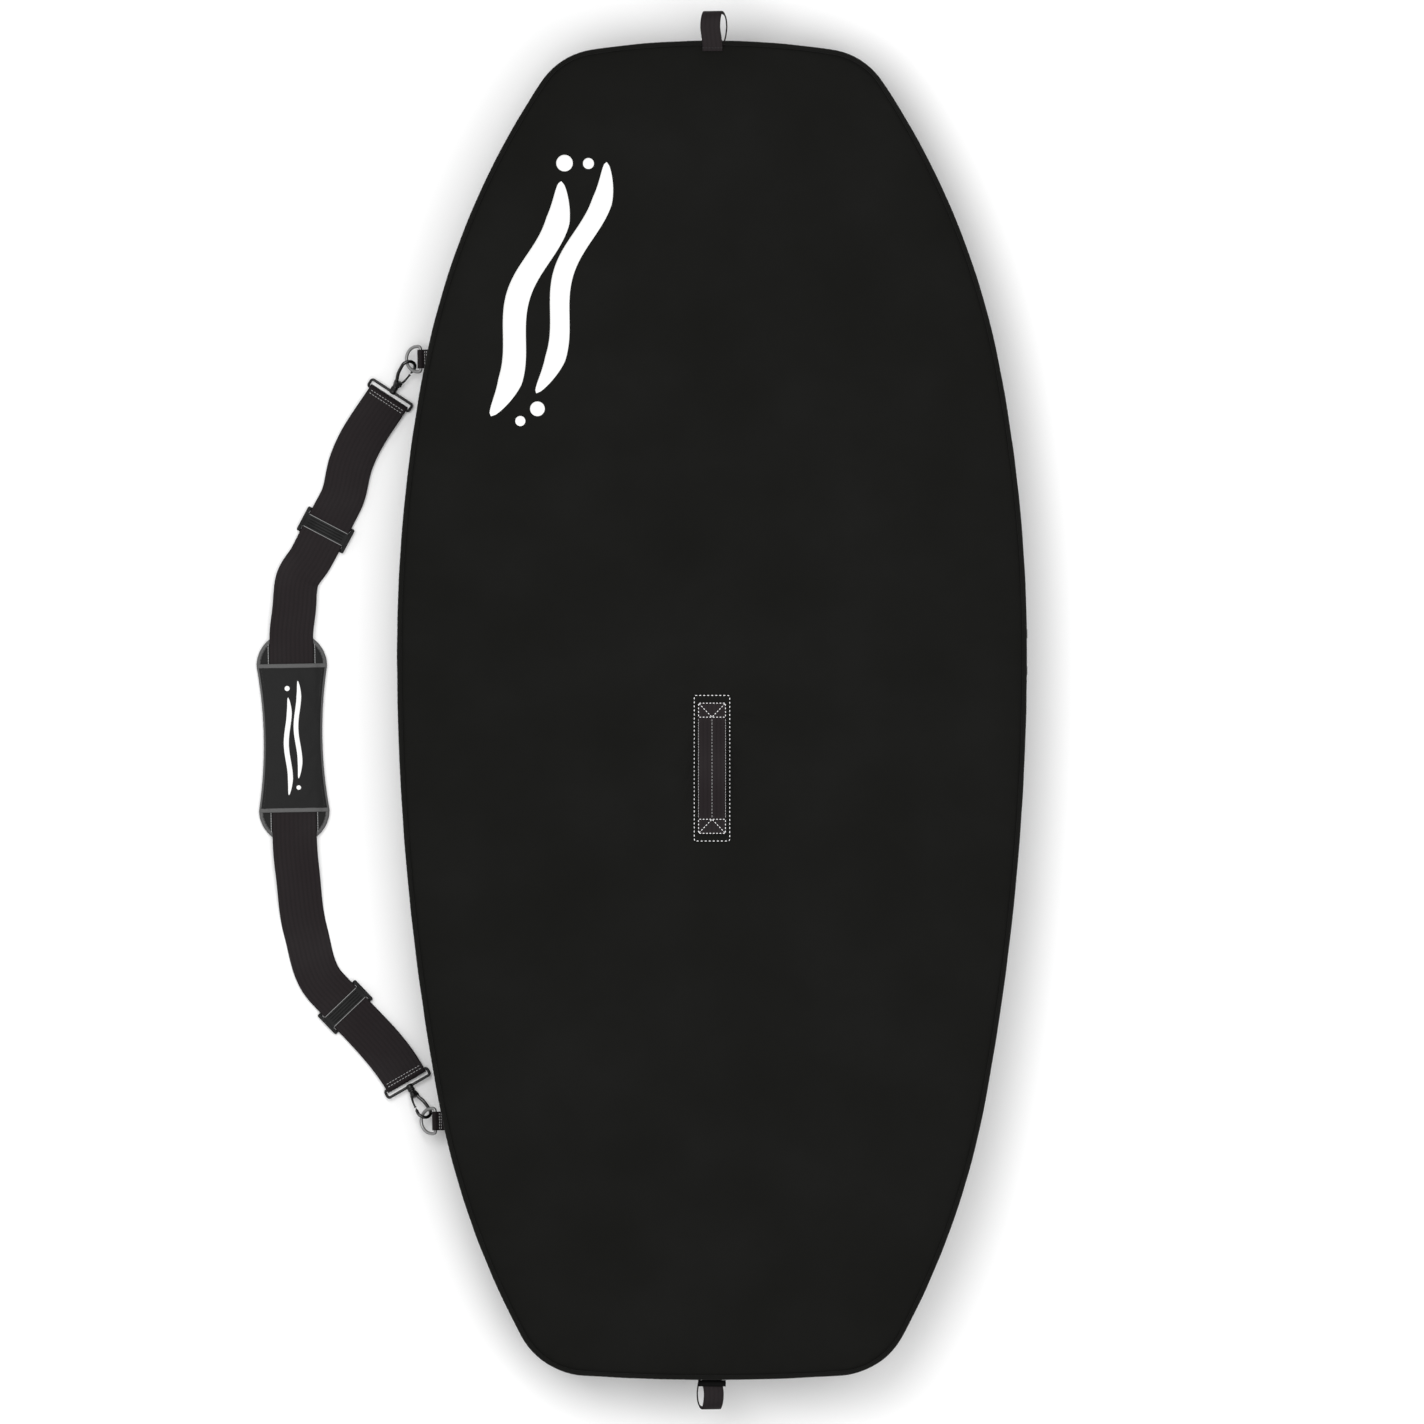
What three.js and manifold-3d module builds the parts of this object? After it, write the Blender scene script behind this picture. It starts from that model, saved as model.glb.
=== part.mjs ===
// A padded carry bag for a short, wide board: a hollow two-part case that closes with a U-shaped zip, with a
// clip-on shoulder strap on its left side, a carry handle on top and a hang loop at each end.
// Millimetres, +Z up. The bag lies flat, nose towards +Y, and the origin is the middle of its underside.
import * as THREE from "three";
import { mergeVertices } from "three/addons/utils/BufferGeometryUtils.js";
import Module from "manifold-3d";

// ---- Driving dimensions ----

// The plan outline is a chain of tangent arcs on each side, from the widest point to the nose and to the tail.
// turn is how far each arc turns, in degrees; one more arc closes each chain squarely on the centreline.
const WIDEST = { x: 342, y: 64 };
const NOSE_ARCS = [
  { radius: 1637, turn: 10.9, steps: 4 },
  { radius: 845, turn: 22.9, steps: 5 },
  { radius: 79, turn: 47.5, steps: 6 },
];
const TAIL_ARCS = [
  { radius: 2653, turn: 10.6, steps: 4 },
  { radius: 881, turn: 17.6, steps: 4 },
  { radius: 82, turn: 57.9, steps: 6 },
];
const CLOSING_STEPS = 2;

const BAG_HEIGHT = 125; // at the edge
const CROWN = 12; // how far the middle of the top stands above its edge
const FABRIC = 1.5;
const FOAM = 6;
const SIDE_FOAM = 4.5;
const LINING = 1;
const PIPING = 5;
const GAP = 0.3; // between pieces that touch

// How far in from the outline each layer of the side wall starts.
const SKIN_INSET = 4.2;
const TEETH_INSET = 3.8;
const TAPE_INSET = 6;
const TAPE = 0.8;
const SIDE_FOAM_INSET = TAPE_INSET + TAPE + 0.4;
const PANEL_INSET = PIPING + GAP;
const FOAM_INSET = SKIN_INSET + FABRIC + GAP;
const LINING_INSET = SIDE_FOAM_INSET + SIDE_FOAM + 0.4;

const ZIP_Z = 74.1; // the zip's closing line
const ZIP_SLIT = 0.3; // half of the gap between its two rows of teeth
const TEETH = 3.5;
const ZIP_WINDOW = 14; // the tape shows this far above and below the closing line
const TAPE_REACH = 20;
const ZIP_END = -76; // the turn at which the zip ends, on the tail corner
const TAIL_HINGE = { y: -725, z: BAG_HEIGHT - 3 };

const WEBBING = { width: 48, thickness: 1.6 }; // nominal 50 mm webbing
const LOOP_WEBBING = { width: 25, thickness: 1.6 };
const HANDLE = { y: -62, width: 31, free: 111, tab: 16, rise: 15, thickness: 2.2 };
const PATCH = { width: 39, length: 159, thickness: 1 };

// The two D-rings share one pivot line, on which the strap swings.
const RING = { wire: 1.8, half: 13.8, straight: 4, tilt: 30 };
const RING_BARS = {
  upper: new THREE.Vector3(-317, 383, 28),
  lower: new THREE.Vector3(-301, -446, 28),
};
const TAB_WIDTH = 21;

// Snap hooks: where each meets its ring, its heading in plan and how far it is turned on its swivel.
const HOOKS = {
  upper: { ringAngle: -35, heading: 57, swivel: 32 },
  lower: { ringAngle: 45, heading: -60, swivel: -32 },
};
const HOOK_REACH = 44.5; // from the webbing bar to the ring's wire
const HOOK_ROD = 1.9;
const FRAME = { rod: 3, inner: 49.4, slot: 6.3 };
const FOLD_RADIUS = 2.9; // of the webbing's middle, where it folds round the frame's bar
const FOLD_Z = 1 + FOLD_RADIUS;

const BUCKLE = { rail: 3.8, length: 29, plate: 15, bar: 3.5 };
const STRAP_LOW = 1; // height of the webbing's middle where it lies on the floor
const STRAP_BUCKLE = 4.3; // and where it runs through a slide buckle
const STRAP_PAD = 9.4; // and on the shoulder pad

const PAD = {
  x: -456.05,
  y: -29.3,
  turn: 1,
  waist: 32,
  end: 38.5,
  straight: 78.5,
  cap: 37.5,
  base: 8,
  cover: 2,
};
const BINDING = 2.4;

const ZIP_SLIDER = { length: 22, plate: 1.2, start: 20 };
const BAIL = { half: 4.6, rod: 1, rise: 2.2 };
const ZIP_PULL = { width: 8, length: 28, thickness: 1.2, bar: 1.6, eye: 5.2 };

// ---- Materials ----

function material(colour, roughness, metalness = 0) {
  return new THREE.MeshStandardMaterial({ color: colour, roughness, metalness });
}
const BAG_FABRIC = material(0x1d1d1b, 0.85);
const STRAP_FABRIC = material(0x231f20, 0.8);
const PAD_FABRIC = material(0x2c2c2c, 0.85);
const GREY_BINDING = material(0x636363, 0.8);
const FOAM_GREY = material(0x55585a, 0.95);
const LINING_GREY = material(0x8b8e90, 0.7);
const BLACK_METAL = material(0x141414, 0.4, 0.6);
const NICKEL = material(0xc8c8c6, 0.25, 1);
const BLACK_PLASTIC = material(0x1a1a1a, 0.5);
const LABEL_FABRIC = material(0x0b0b0b, 0.6);

// ---- Geometry helpers ----

const wasm = await Module();
wasm.setup();
const rad = THREE.MathUtils.degToRad;
const UP = new THREE.Vector3(0, 0, 1);
const ACROSS = new THREE.Vector3(1, 0, 0);

// A closed geometry as a manifold-3d solid.
function solid(geometry) {
  const plain = geometry.index ? geometry.toNonIndexed() : geometry.clone();
  const bare = new THREE.BufferGeometry().setAttribute("position", plain.getAttribute("position"));
  const merged = mergeVertices(bare, 1e-4);
  return new wasm.Manifold(
    new wasm.Mesh({
      numProp: 3,
      vertProperties: merged.attributes.position.array,
      triVerts: new Uint32Array(merged.index.array),
    }),
  );
}

// A manifold-3d solid as a geometry.
function geometryOf(manifold) {
  const made = manifold.getMesh();
  const geometry = new THREE.BufferGeometry();
  geometry.setAttribute("position", new THREE.BufferAttribute(made.vertProperties, made.numProp));
  geometry.setIndex(new THREE.BufferAttribute(made.triVerts, 1));
  geometry.computeVertexNormals();
  return geometry;
}

function joined(...geometries) {
  return geometryOf(geometries.map(solid).reduce((a, b) => a.add(b)));
}

function cut(geometry, ...tools) {
  return geometryOf(tools.map(solid).reduce((a, b) => a.subtract(b), solid(geometry)));
}

function piece(name, geometry, look, parent) {
  const mesh = new THREE.Mesh(geometry, look);
  mesh.name = name;
  parent.add(mesh);
  return mesh;
}

// A box given by its low and high corners.
function block(low, high) {
  const [dx, dy, dz] = high.map((v, i) => v - low[i]);
  return new THREE.BoxGeometry(dx, dy, dz).translate(low[0] + dx / 2, low[1] + dy / 2, low[2] + dz / 2);
}

// A flat shape raised from one height to another.
function raised(shape, low, high, curveSegments = 12) {
  const options = { depth: high - low, bevelEnabled: false, curveSegments };
  return new THREE.ExtrudeGeometry(shape, options).translate(0, 0, low);
}

// The same with its edges bevelled, inside the same outline.
function rounded(shape, low, high, bevel, curveSegments = 8) {
  const options = {
    depth: high - low - 2 * bevel,
    bevelSize: bevel,
    bevelOffset: -bevel,
    bevelThickness: bevel,
    bevelSegments: 1,
    curveSegments,
  };
  return new THREE.ExtrudeGeometry(shape, options).translate(0, 0, low + bevel);
}

function roundedRectangle(left, low, right, high, radius) {
  const shape = new THREE.Shape();
  shape.absarc(right - radius, high - radius, radius, 0, Math.PI / 2);
  shape.absarc(left + radius, high - radius, radius, Math.PI / 2, Math.PI);
  shape.absarc(left + radius, low + radius, radius, Math.PI, 1.5 * Math.PI);
  shape.absarc(right - radius, low + radius, radius, 1.5 * Math.PI, 2 * Math.PI);
  return shape;
}

function circle(radius, x = 0, y = 0) {
  return new THREE.Shape().absarc(x, y, radius, 0, 2 * Math.PI);
}

// A cylinder along Y from one distance to another.
function rodAlongY(radius, from, to, sides = 16) {
  return new THREE.CylinderGeometry(radius, radius, to - from, sides).translate(0, (from + to) / 2, 0);
}

// A flat band of cloth. Each station has the middle point of the band and its direction across.
function ribbon(stations, width, thickness) {
  const along = (i) => {
    const before = stations[Math.max(i - 1, 0)].point;
    const after = stations[Math.min(i + 1, stations.length - 1)].point;
    return after.clone().sub(before).normalize();
  };
  const positions = [];
  stations.forEach(({ point, across }, i) => {
    const outward = along(i).cross(across).normalize();
    for (const [side, face] of [[-1, -1], [1, -1], [1, 1], [-1, 1]]) {
      const corner = point.clone();
      corner.addScaledVector(across, (side * width) / 2);
      corner.addScaledVector(outward, (face * thickness) / 2);
      positions.push(...corner.toArray());
    }
  });
  const faces = [0, 2, 1, 0, 3, 2];
  for (let i = 0; i + 1 < stations.length; i++) {
    for (let k = 0; k < 4; k++) {
      const [a, b] = [4 * i + k, 4 * i + ((k + 1) % 4)];
      faces.push(a, b, b + 4, a, b + 4, a + 4);
    }
  }
  const last = 4 * (stations.length - 1);
  faces.push(last, last + 1, last + 2, last, last + 2, last + 3);
  const geometry = new THREE.BufferGeometry();
  geometry.setAttribute("position", new THREE.Float32BufferAttribute(positions, 3));
  geometry.setIndex(faces);
  if (solid(geometry).volume() < 0) {
    for (let i = 0; i < faces.length; i += 3) [faces[i + 1], faces[i + 2]] = [faces[i + 2], faces[i + 1]];
    geometry.setIndex(faces);
  }
  geometry.computeVertexNormals();
  return geometry;
}

// ---- The plan outline ----

// The arcs from the widest point to one end; end is 1 for the nose and -1 for the tail.
function arcChain(arcs, end) {
  const chain = [];
  let centre = { x: WIDEST.x - arcs[0].radius, y: WIDEST.y };
  let from = 0;
  arcs.forEach(({ radius, turn, steps }, i) => {
    chain.push({ centre, radius, from, to: from + turn, steps });
    from += turn;
    const [cos, sin] = [Math.cos(rad(from)), Math.sin(rad(from))];
    const next = i + 1 < arcs.length ? arcs[i + 1].radius : radius + centre.x / cos;
    centre = { x: centre.x + (radius - next) * cos, y: centre.y + end * (radius - next) * sin };
    if (i + 1 === arcs.length) chain.push({ centre, radius: next, from, to: 90, steps: CLOSING_STEPS });
  });
  return chain;
}
const NOSE_CHAIN = arcChain(NOSE_ARCS, 1);
const TAIL_CHAIN = arcChain(TAIL_ARCS, -1);

// A point of the outline, moved in by inset. turn is the direction that the edge faces there, in degrees:
// -90 is the tail, 0 the right side, 90 the nose, 180 the left side and 270 the tail again.
function edgePoint(turn, inset) {
  if (turn > 90) {
    const mirrored = edgePoint(180 - turn, inset);
    return new THREE.Vector2(-mirrored.x, mirrored.y);
  }
  const chain = turn < 0 ? TAIL_CHAIN : NOSE_CHAIN;
  const arc = chain.find(({ to }) => Math.abs(turn) <= to + 1e-9);
  const reach = arc.radius - inset;
  return new THREE.Vector2(
    arc.centre.x + reach * Math.cos(rad(turn)),
    arc.centre.y + reach * Math.sin(rad(turn)),
  );
}

// The turns of the outline's points on the right side, from the tail to the nose.
function rightTurns() {
  const turns = [0];
  const walk = (chain, sign) => {
    for (const { from, to, steps } of chain) {
      for (let i = 1; i <= steps; i++) turns.push(sign * (from + ((to - from) * i) / steps));
    }
  };
  walk(TAIL_CHAIN, -1);
  walk(NOSE_CHAIN, 1);
  return turns.sort((a, b) => a - b);
}
const RIGHT_TURNS = rightTurns();
const ALL_TURNS = [...RIGHT_TURNS, ...RIGHT_TURNS.map((t) => 180 - t).reverse().slice(1, -1)];

function turnsBetween(from, to) {
  const every = [...ALL_TURNS, ...ALL_TURNS.map((t) => t - 360)];
  const inside = every.filter((t) => t > from + 0.2 && t < to - 0.2).sort((a, b) => a - b);
  return [from, ...inside, to];
}

function pointAt(turn, inset) {
  return edgePoint(turn < -90 ? turn + 360 : turn, inset);
}

// A plate with the whole outline.
function plate(inset, low, high) {
  return raised(new THREE.Shape(ALL_TURNS.map((t) => edgePoint(t, inset))), low, high);
}

// A wall along part of the outline, with its outer face at inset.
function wall(from, to, inset, thickness, low, high) {
  const turns = turnsBetween(from, to);
  const outer = turns.map((t) => pointAt(t, inset));
  const inner = turns.map((t) => pointAt(t, inset + thickness)).reverse();
  return raised(new THREE.Shape([...outer, ...inner]), low, high);
}

// The welt cord round a panel's whole edge.
function pipingRing(low) {
  const shape = new THREE.Shape(ALL_TURNS.map((t) => edgePoint(t, 0)));
  shape.holes.push(new THREE.Path(ALL_TURNS.map((t) => edgePoint(t, PIPING)).reverse()));
  return rounded(shape, low, low + PIPING, PIPING / 4);
}

function crownAt(x, y) {
  const share = Math.min(1, Math.hypot(x / WIDEST.x, y / Math.abs(TAIL_HINGE.y)));
  return CROWN * (1 - share * share);
}

// A sheet with the whole outline that is domed by the crown.
function domedSheet(inset, rim, thickness) {
  const shares = [1, 0.7, 0.35];
  const outline = ALL_TURNS.map((t) => edgePoint(t, inset));
  const count = outline.length;
  const positions = [];
  for (const face of [0, thickness]) {
    for (const share of shares) {
      for (const p of outline) {
        positions.push(p.x * share, p.y * share, rim + face + CROWN * (1 - share * share));
      }
    }
    positions.push(0, 0, rim + face + CROWN);
  }
  const half = shares.length * count + 1;
  const faces = [];
  for (let k = 0; k < count; k++) {
    const next = (k + 1) % count;
    for (let r = 0; r + 1 < shares.length; r++) {
      const [a, b, c, d] = [r * count + k, r * count + next, (r + 1) * count + next, (r + 1) * count + k];
      faces.push(a, c, b, a, d, c);
      faces.push(a + half, b + half, c + half, a + half, c + half, d + half);
    }
    const inner = (shares.length - 1) * count;
    faces.push(inner + k, half - 1, inner + next);
    faces.push(inner + k + half, inner + next + half, 2 * half - 1);
    faces.push(k, next, next + half, k, next + half, k + half);
  }
  const geometry = new THREE.BufferGeometry();
  geometry.setAttribute("position", new THREE.Float32BufferAttribute(positions, 3));
  geometry.setIndex(faces);
  geometry.computeVertexNormals();
  return geometry;
}

// ---- The lower half of the case ----

const SIDES = { right: [ZIP_END, 89.98], left: [90.02, 180 - ZIP_END] };
const TAIL_SPAN = [-179 - ZIP_END, ZIP_END - 1];
const NOSE_ROUND = [ZIP_END, 180 - ZIP_END];

function buildLowerCase(bag) {
  piece("bottom_panel", plate(PANEL_INSET, 0, FABRIC), BAG_FABRIC, bag);
  const foamLow = FABRIC + GAP;
  piece("bottom_foam", plate(FOAM_INSET, foamLow, foamLow + FOAM), FOAM_GREY, bag);
  const liningLow = foamLow + FOAM + GAP;
  piece("bottom_lining", plate(LINING_INSET, liningLow, liningLow + LINING), LINING_GREY, bag);
  piece("bottom_piping", pipingRing(0.8), BAG_FABRIC, bag);
  const skinLow = 0.8 + PIPING + GAP;
  for (const [side, [from, to]] of Object.entries(SIDES)) {
    const skin = wall(from, to, SKIN_INSET, FABRIC, skinLow, ZIP_Z - ZIP_WINDOW);
    piece(`lower_gusset_${side}`, skin, BAG_FABRIC, bag);
    const foam = wall(from, to, SIDE_FOAM_INSET, SIDE_FOAM, liningLow, ZIP_Z - 6);
    piece(`lower_side_foam_${side}`, foam, FOAM_GREY, bag);
  }
  const tailTop = TAIL_HINGE.z - 4.5;
  piece("tail_gusset", wall(...TAIL_SPAN, SKIN_INSET, FABRIC, skinLow, tailTop), BAG_FABRIC, bag);
  const tailFoam = wall(...TAIL_SPAN, SIDE_FOAM_INSET, SIDE_FOAM, liningLow, tailTop - 14);
  piece("tail_foam", tailFoam, FOAM_GREY, bag);
}

// The two halves of the zip: each has its tape and its row of teeth.
function buildZipHalf(name, side, parent) {
  const from = ZIP_Z + side * ZIP_SLIT;
  const span = (reach) => (side > 0 ? [from, from + reach] : [from - reach, from]);
  const tape = wall(...NOSE_ROUND, TAPE_INSET, TAPE, ...span(TAPE_REACH));
  piece(`${name}_zip_tape`, tape, BLACK_PLASTIC, parent);
  const teeth = wall(...NOSE_ROUND, TEETH_INSET, TAPE_INSET - TEETH_INSET - GAP, ...span(TEETH));
  piece(`${name}_zip_teeth`, teeth, BLACK_PLASTIC, parent);
}

function buildZipStops(bag) {
  for (const [side, turn] of [["right", ZIP_END - 0.6], ["left", 180 - ZIP_END + 0.6]]) {
    const at = edgePoint(turn, 0);
    const stop = new THREE.Group();
    stop.position.set(at.x, at.y, ZIP_Z);
    stop.rotation.z = rad(turn);
    bag.add(stop);
    piece(`zip_end_stop_${side}`, block([-2.2, -2, -4], [-0.9, 4, 4]), NICKEL, stop);
  }
}

// ---- The lid ----

function buildLid(bag) {
  const lid = new THREE.Group();
  bag.add(lid);
  const panelRim = BAG_HEIGHT - FABRIC;
  piece("top_panel", domedSheet(PANEL_INSET, panelRim, FABRIC), BAG_FABRIC, lid);
  const foamRim = panelRim - GAP - FOAM;
  piece("top_foam", domedSheet(FOAM_INSET, foamRim, FOAM), FOAM_GREY, lid);
  const liningRim = foamRim - GAP - LINING;
  piece("top_lining", domedSheet(LINING_INSET, liningRim, LINING), LINING_GREY, lid);
  const pipingLow = panelRim - PIPING + FABRIC - 0.5;
  piece("top_piping", pipingRing(pipingLow), BAG_FABRIC, lid);
  for (const [side, [from, to]] of Object.entries(SIDES)) {
    const skin = wall(from, to, SKIN_INSET, FABRIC, ZIP_Z + ZIP_WINDOW, pipingLow - GAP);
    piece(`upper_gusset_${side}`, skin, BAG_FABRIC, lid);
    const foam = wall(from, to, SIDE_FOAM_INSET, SIDE_FOAM, ZIP_Z + 6, foamRim - GAP);
    piece(`upper_side_foam_${side}`, foam, FOAM_GREY, lid);
  }
  buildZipHalf("upper", 1, lid);
  buildHandle(lid);
  buildNoseLoop(lid);
}

// A webbing handle that stands up in a low arch, sewn at both ends to a patch on the top panel.
function buildHandle(lid) {
  const top = BAG_HEIGHT + crownAt(0, HANDLE.y) + GAP;
  const [halfWidth, halfLength] = [PATCH.width / 2, PATCH.length / 2];
  const outline = roundedRectangle(
    -halfWidth, HANDLE.y - halfLength, halfWidth, HANDLE.y + halfLength, 4,
  );
  piece("handle_patch", raised(outline, top, top + PATCH.thickness, 3), BAG_FABRIC, lid);
  const seat = top + PATCH.thickness + GAP + HANDLE.thickness / 2;
  const stations = [];
  const add = (y, z) => stations.push({ point: new THREE.Vector3(0, y, z), across: ACROSS });
  const reach = HANDLE.free / 2;
  add(HANDLE.y - reach - HANDLE.tab, seat);
  for (let i = 0; i <= 16; i++) {
    const share = i / 8 - 1;
    add(HANDLE.y + reach * share, seat + HANDLE.rise * (1 - share * share) ** 1.5);
  }
  add(HANDLE.y + reach + HANDLE.tab, seat);
  piece("carry_handle", ribbon(stations, HANDLE.width, HANDLE.thickness), STRAP_FABRIC, lid);
}

// Stations of a hang loop: out along a straight leg, round a half ellipse and back along another leg.
function loopStations({ root, end, topZ, lowZ, topRoot, lowRoot }) {
  const way = Math.sign(end - root);
  const [middle, half] = [(topZ + lowZ) / 2, (topZ - lowZ) / 2];
  const bow = 16;
  const stations = [];
  const add = (y, z) => stations.push({ point: new THREE.Vector3(0, y, z), across: ACROSS });
  add(topRoot, topZ);
  add(root, topZ);
  for (let i = 0; i <= 8; i++) {
    const angle = Math.PI * (0.5 - i / 8);
    add(end - way * bow + way * bow * Math.cos(angle), middle + half * Math.sin(angle));
  }
  add(lowRoot, lowZ);
  return stations;
}

function buildNoseLoop(lid) {
  const nose = edgePoint(90, 0).y;
  const topZ = BAG_HEIGHT + GAP + LOOP_WEBBING.thickness / 2;
  const stations = loopStations({
    root: nose,
    end: nose + 32,
    topZ,
    lowZ: BAG_HEIGHT - 12,
    topRoot: nose - 12,
    lowRoot: nose - SKIN_INSET + GAP,
  });
  piece("nose_loop", ribbon(stations, LOOP_WEBBING.width, LOOP_WEBBING.thickness), STRAP_FABRIC, lid);
}

function buildTailLoop(bag) {
  const tail = edgePoint(-90, 0).y;
  const root = tail + SKIN_INSET - GAP;
  const topZ = TAIL_HINGE.z - 8;
  const stations = loopStations({
    root: tail - 6,
    end: tail - 31,
    topZ,
    lowZ: topZ - 13,
    topRoot: root,
    lowRoot: root,
  });
  piece("tail_loop", ribbon(stations, LOOP_WEBBING.width, LOOP_WEBBING.thickness), STRAP_FABRIC, bag);
  const labelLow = topZ + LOOP_WEBBING.thickness / 2 + GAP;
  const label = block([-15, tail - 7.5, labelLow], [15, tail - 0.6, labelLow + 0.8]);
  piece("tail_label", label, LABEL_FABRIC, bag);
}

// ---- D-rings and their tabs ----

const PIVOT_LINE = RING_BARS.upper.clone().sub(RING_BARS.lower).normalize();
const PIVOT_TURN = Math.atan2(-PIVOT_LINE.x, PIVOT_LINE.y);

// A D-ring lies with its bar along Y at the origin and its bow towards -X, tilted down.
function ringGeometry() {
  const corner = 3;
  const points = [];
  const add = (x, y) => points.push(new THREE.Vector3(x, y, 0));
  for (const y of [-8, 0, 8]) add(0, y);
  add(-0.9, RING.half - 0.9);
  add(-corner, RING.half);
  for (let i = 0; i <= 8; i++) {
    const angle = Math.PI / 2 + (Math.PI * i) / 8;
    add(-RING.straight + RING.half * Math.cos(angle), RING.half * Math.sin(angle));
  }
  add(-corner, -RING.half);
  add(-0.9, -RING.half + 0.9);
  const line = new THREE.CatmullRomCurve3(points, true, "centripetal");
  return new THREE.TubeGeometry(line, 30, RING.wire, 8, true).rotateY(-rad(RING.tilt));
}

// The webbing tab wraps the ring's bar and ends on the curved side wall.
function tabGeometry(bar) {
  const shape = new THREE.Shape();
  const [reach, neck] = [24, 1.7];
  const outer = RING.wire + GAP + 1.4;
  const meet = Math.asin(neck / outer);
  shape.moveTo(reach, -neck);
  shape.lineTo(reach, neck);
  shape.absarc(0, 0, outer, meet, 2 * Math.PI - meet);
  shape.holes.push(circle(RING.wire + 0.4));
  const local = raised(shape, -TAB_WIDTH / 2, TAB_WIDTH / 2, 8).rotateX(Math.PI / 2);
  local.rotateZ(PIVOT_TURN).translate(bar.x, bar.y, bar.z);
  return cut(local, plate(SKIN_INSET - GAP, 0, BAG_HEIGHT));
}

function buildRings(bag) {
  for (const [end, bar] of Object.entries(RING_BARS)) {
    piece(`dring_tab_${end}`, tabGeometry(bar), STRAP_FABRIC, bag);
    const ring = piece(`dring_${end}`, ringGeometry(), NICKEL, bag);
    ring.position.copy(bar);
    ring.rotation.z = PIVOT_TURN;
  }
}

// ---- The shoulder strap ----

// Where a hook holds its ring, and from there the place and slope of the frame that carries the hook.
function hookPlace(end) {
  const { ringAngle, heading } = HOOKS[end];
  const out = RING.straight + RING.half * Math.cos(rad(ringAngle));
  const [cos, sin] = [Math.cos(rad(RING.tilt)), Math.sin(rad(RING.tilt))];
  const wire = new THREE.Vector3(-out * cos, RING.half * Math.sin(rad(ringAngle)), -out * sin);
  wire.applyAxisAngle(UP, PIVOT_TURN).add(RING_BARS[end]);
  const slope = Math.asin((wire.z - FOLD_Z) / HOOK_REACH);
  const flat = HOOK_REACH * Math.cos(slope);
  const bar = new THREE.Vector3(
    wire.x - flat * Math.cos(rad(heading)),
    wire.y - flat * Math.sin(rad(heading)),
    FOLD_Z,
  );
  return { bar, slope, heading };
}
const HOOK_PLACES = { upper: hookPlace("upper"), lower: hookPlace("lower") };

// The strap's way from the upper hook to the lower one: points with a heading in plan, in degrees. Where the
// strap runs through a buckle or the pad it is straight, so that they can slide.
const FOLD_TOP = FOLD_Z + FOLD_RADIUS;
const onPad = (y) => ({
  x: PAD.x - y * Math.sin(rad(PAD.turn)),
  y: PAD.y + y * Math.cos(rad(PAD.turn)),
  z: STRAP_PAD,
  heading: PAD.turn - 90,
});
const WAY = [
  { ...HOOK_PLACES.upper.bar, z: FOLD_TOP, heading: HOOKS.upper.heading - 180 },
  { x: -393, y: 270, z: STRAP_BUCKLE, heading: -109 },
  { x: -405.1, y: 226.6, z: STRAP_BUCKLE, heading: -117.7 },
  { x: -436, y: 167.8, z: STRAP_BUCKLE, heading: -117.7 },
  { x: -453.5, y: 116, z: STRAP_PAD, heading: -101 },
  onPad(107),
  onPad(-107),
  { x: -451.3, y: -174, z: STRAP_PAD, heading: -83 },
  { x: -442.3, y: -240, z: STRAP_LOW, heading: -75 },
  { x: -418.5, y: -302, z: STRAP_BUCKLE, heading: -46.3 },
  { x: -379.9, y: -342.5, z: STRAP_BUCKLE, heading: -46.3 },
  { ...HOOK_PLACES.lower.bar, z: FOLD_TOP, heading: HOOKS.lower.heading },
];
const BUCKLE_LEGS = { upper: 2, lower: 9 }; // the stretch of WAY that each buckle is on
const PAD_LEG = 5; // and the one that the pad is on

// One stretch of the strap as a smooth curve.
function leg(i) {
  const [a, b] = [WAY[i], WAY[i + 1]];
  const start = new THREE.Vector3(a.x, a.y, a.z);
  const end = new THREE.Vector3(b.x, b.y, b.z);
  const handle = Math.hypot(b.x - a.x, b.y - a.y) * 0.36;
  const towards = (heading, reach) =>
    new THREE.Vector3(Math.cos(rad(heading)) * reach, Math.sin(rad(heading)) * reach, 0);
  return new THREE.CubicBezierCurve3(
    start,
    start.clone().add(towards(a.heading, handle)),
    end.clone().add(towards(b.heading, -handle)),
    end,
  );
}

function stationsOf(curve, steps, height) {
  const stations = [];
  for (let i = 0; i <= steps; i++) {
    const point = curve.getPoint(i / steps);
    const along = curve.getTangent(i / steps).setZ(0).normalize();
    if (height !== undefined) point.z = height;
    stations.push({ point, across: new THREE.Vector3().crossVectors(UP, along) });
  }
  return stations;
}

// Half a turn round a frame's bar, from the lower layer to the upper one.
function foldStations(end) {
  const { bar, heading } = HOOK_PLACES[end];
  const out = new THREE.Vector3(Math.cos(rad(heading)), Math.sin(rad(heading)), 0);
  const across = new THREE.Vector3().crossVectors(UP, out).negate();
  const stations = [];
  for (let i = 1; i < 8; i++) {
    const angle = Math.PI * (i / 8 - 0.5);
    const point = bar.clone().addScaledVector(out, FOLD_RADIUS * Math.cos(angle));
    point.z += FOLD_RADIUS * Math.sin(angle);
    stations.push({ point, across });
  }
  return stations;
}

function backwards(stations) {
  return stations.map(({ point, across }) => ({ point, across: across.clone().negate() })).reverse();
}

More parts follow.
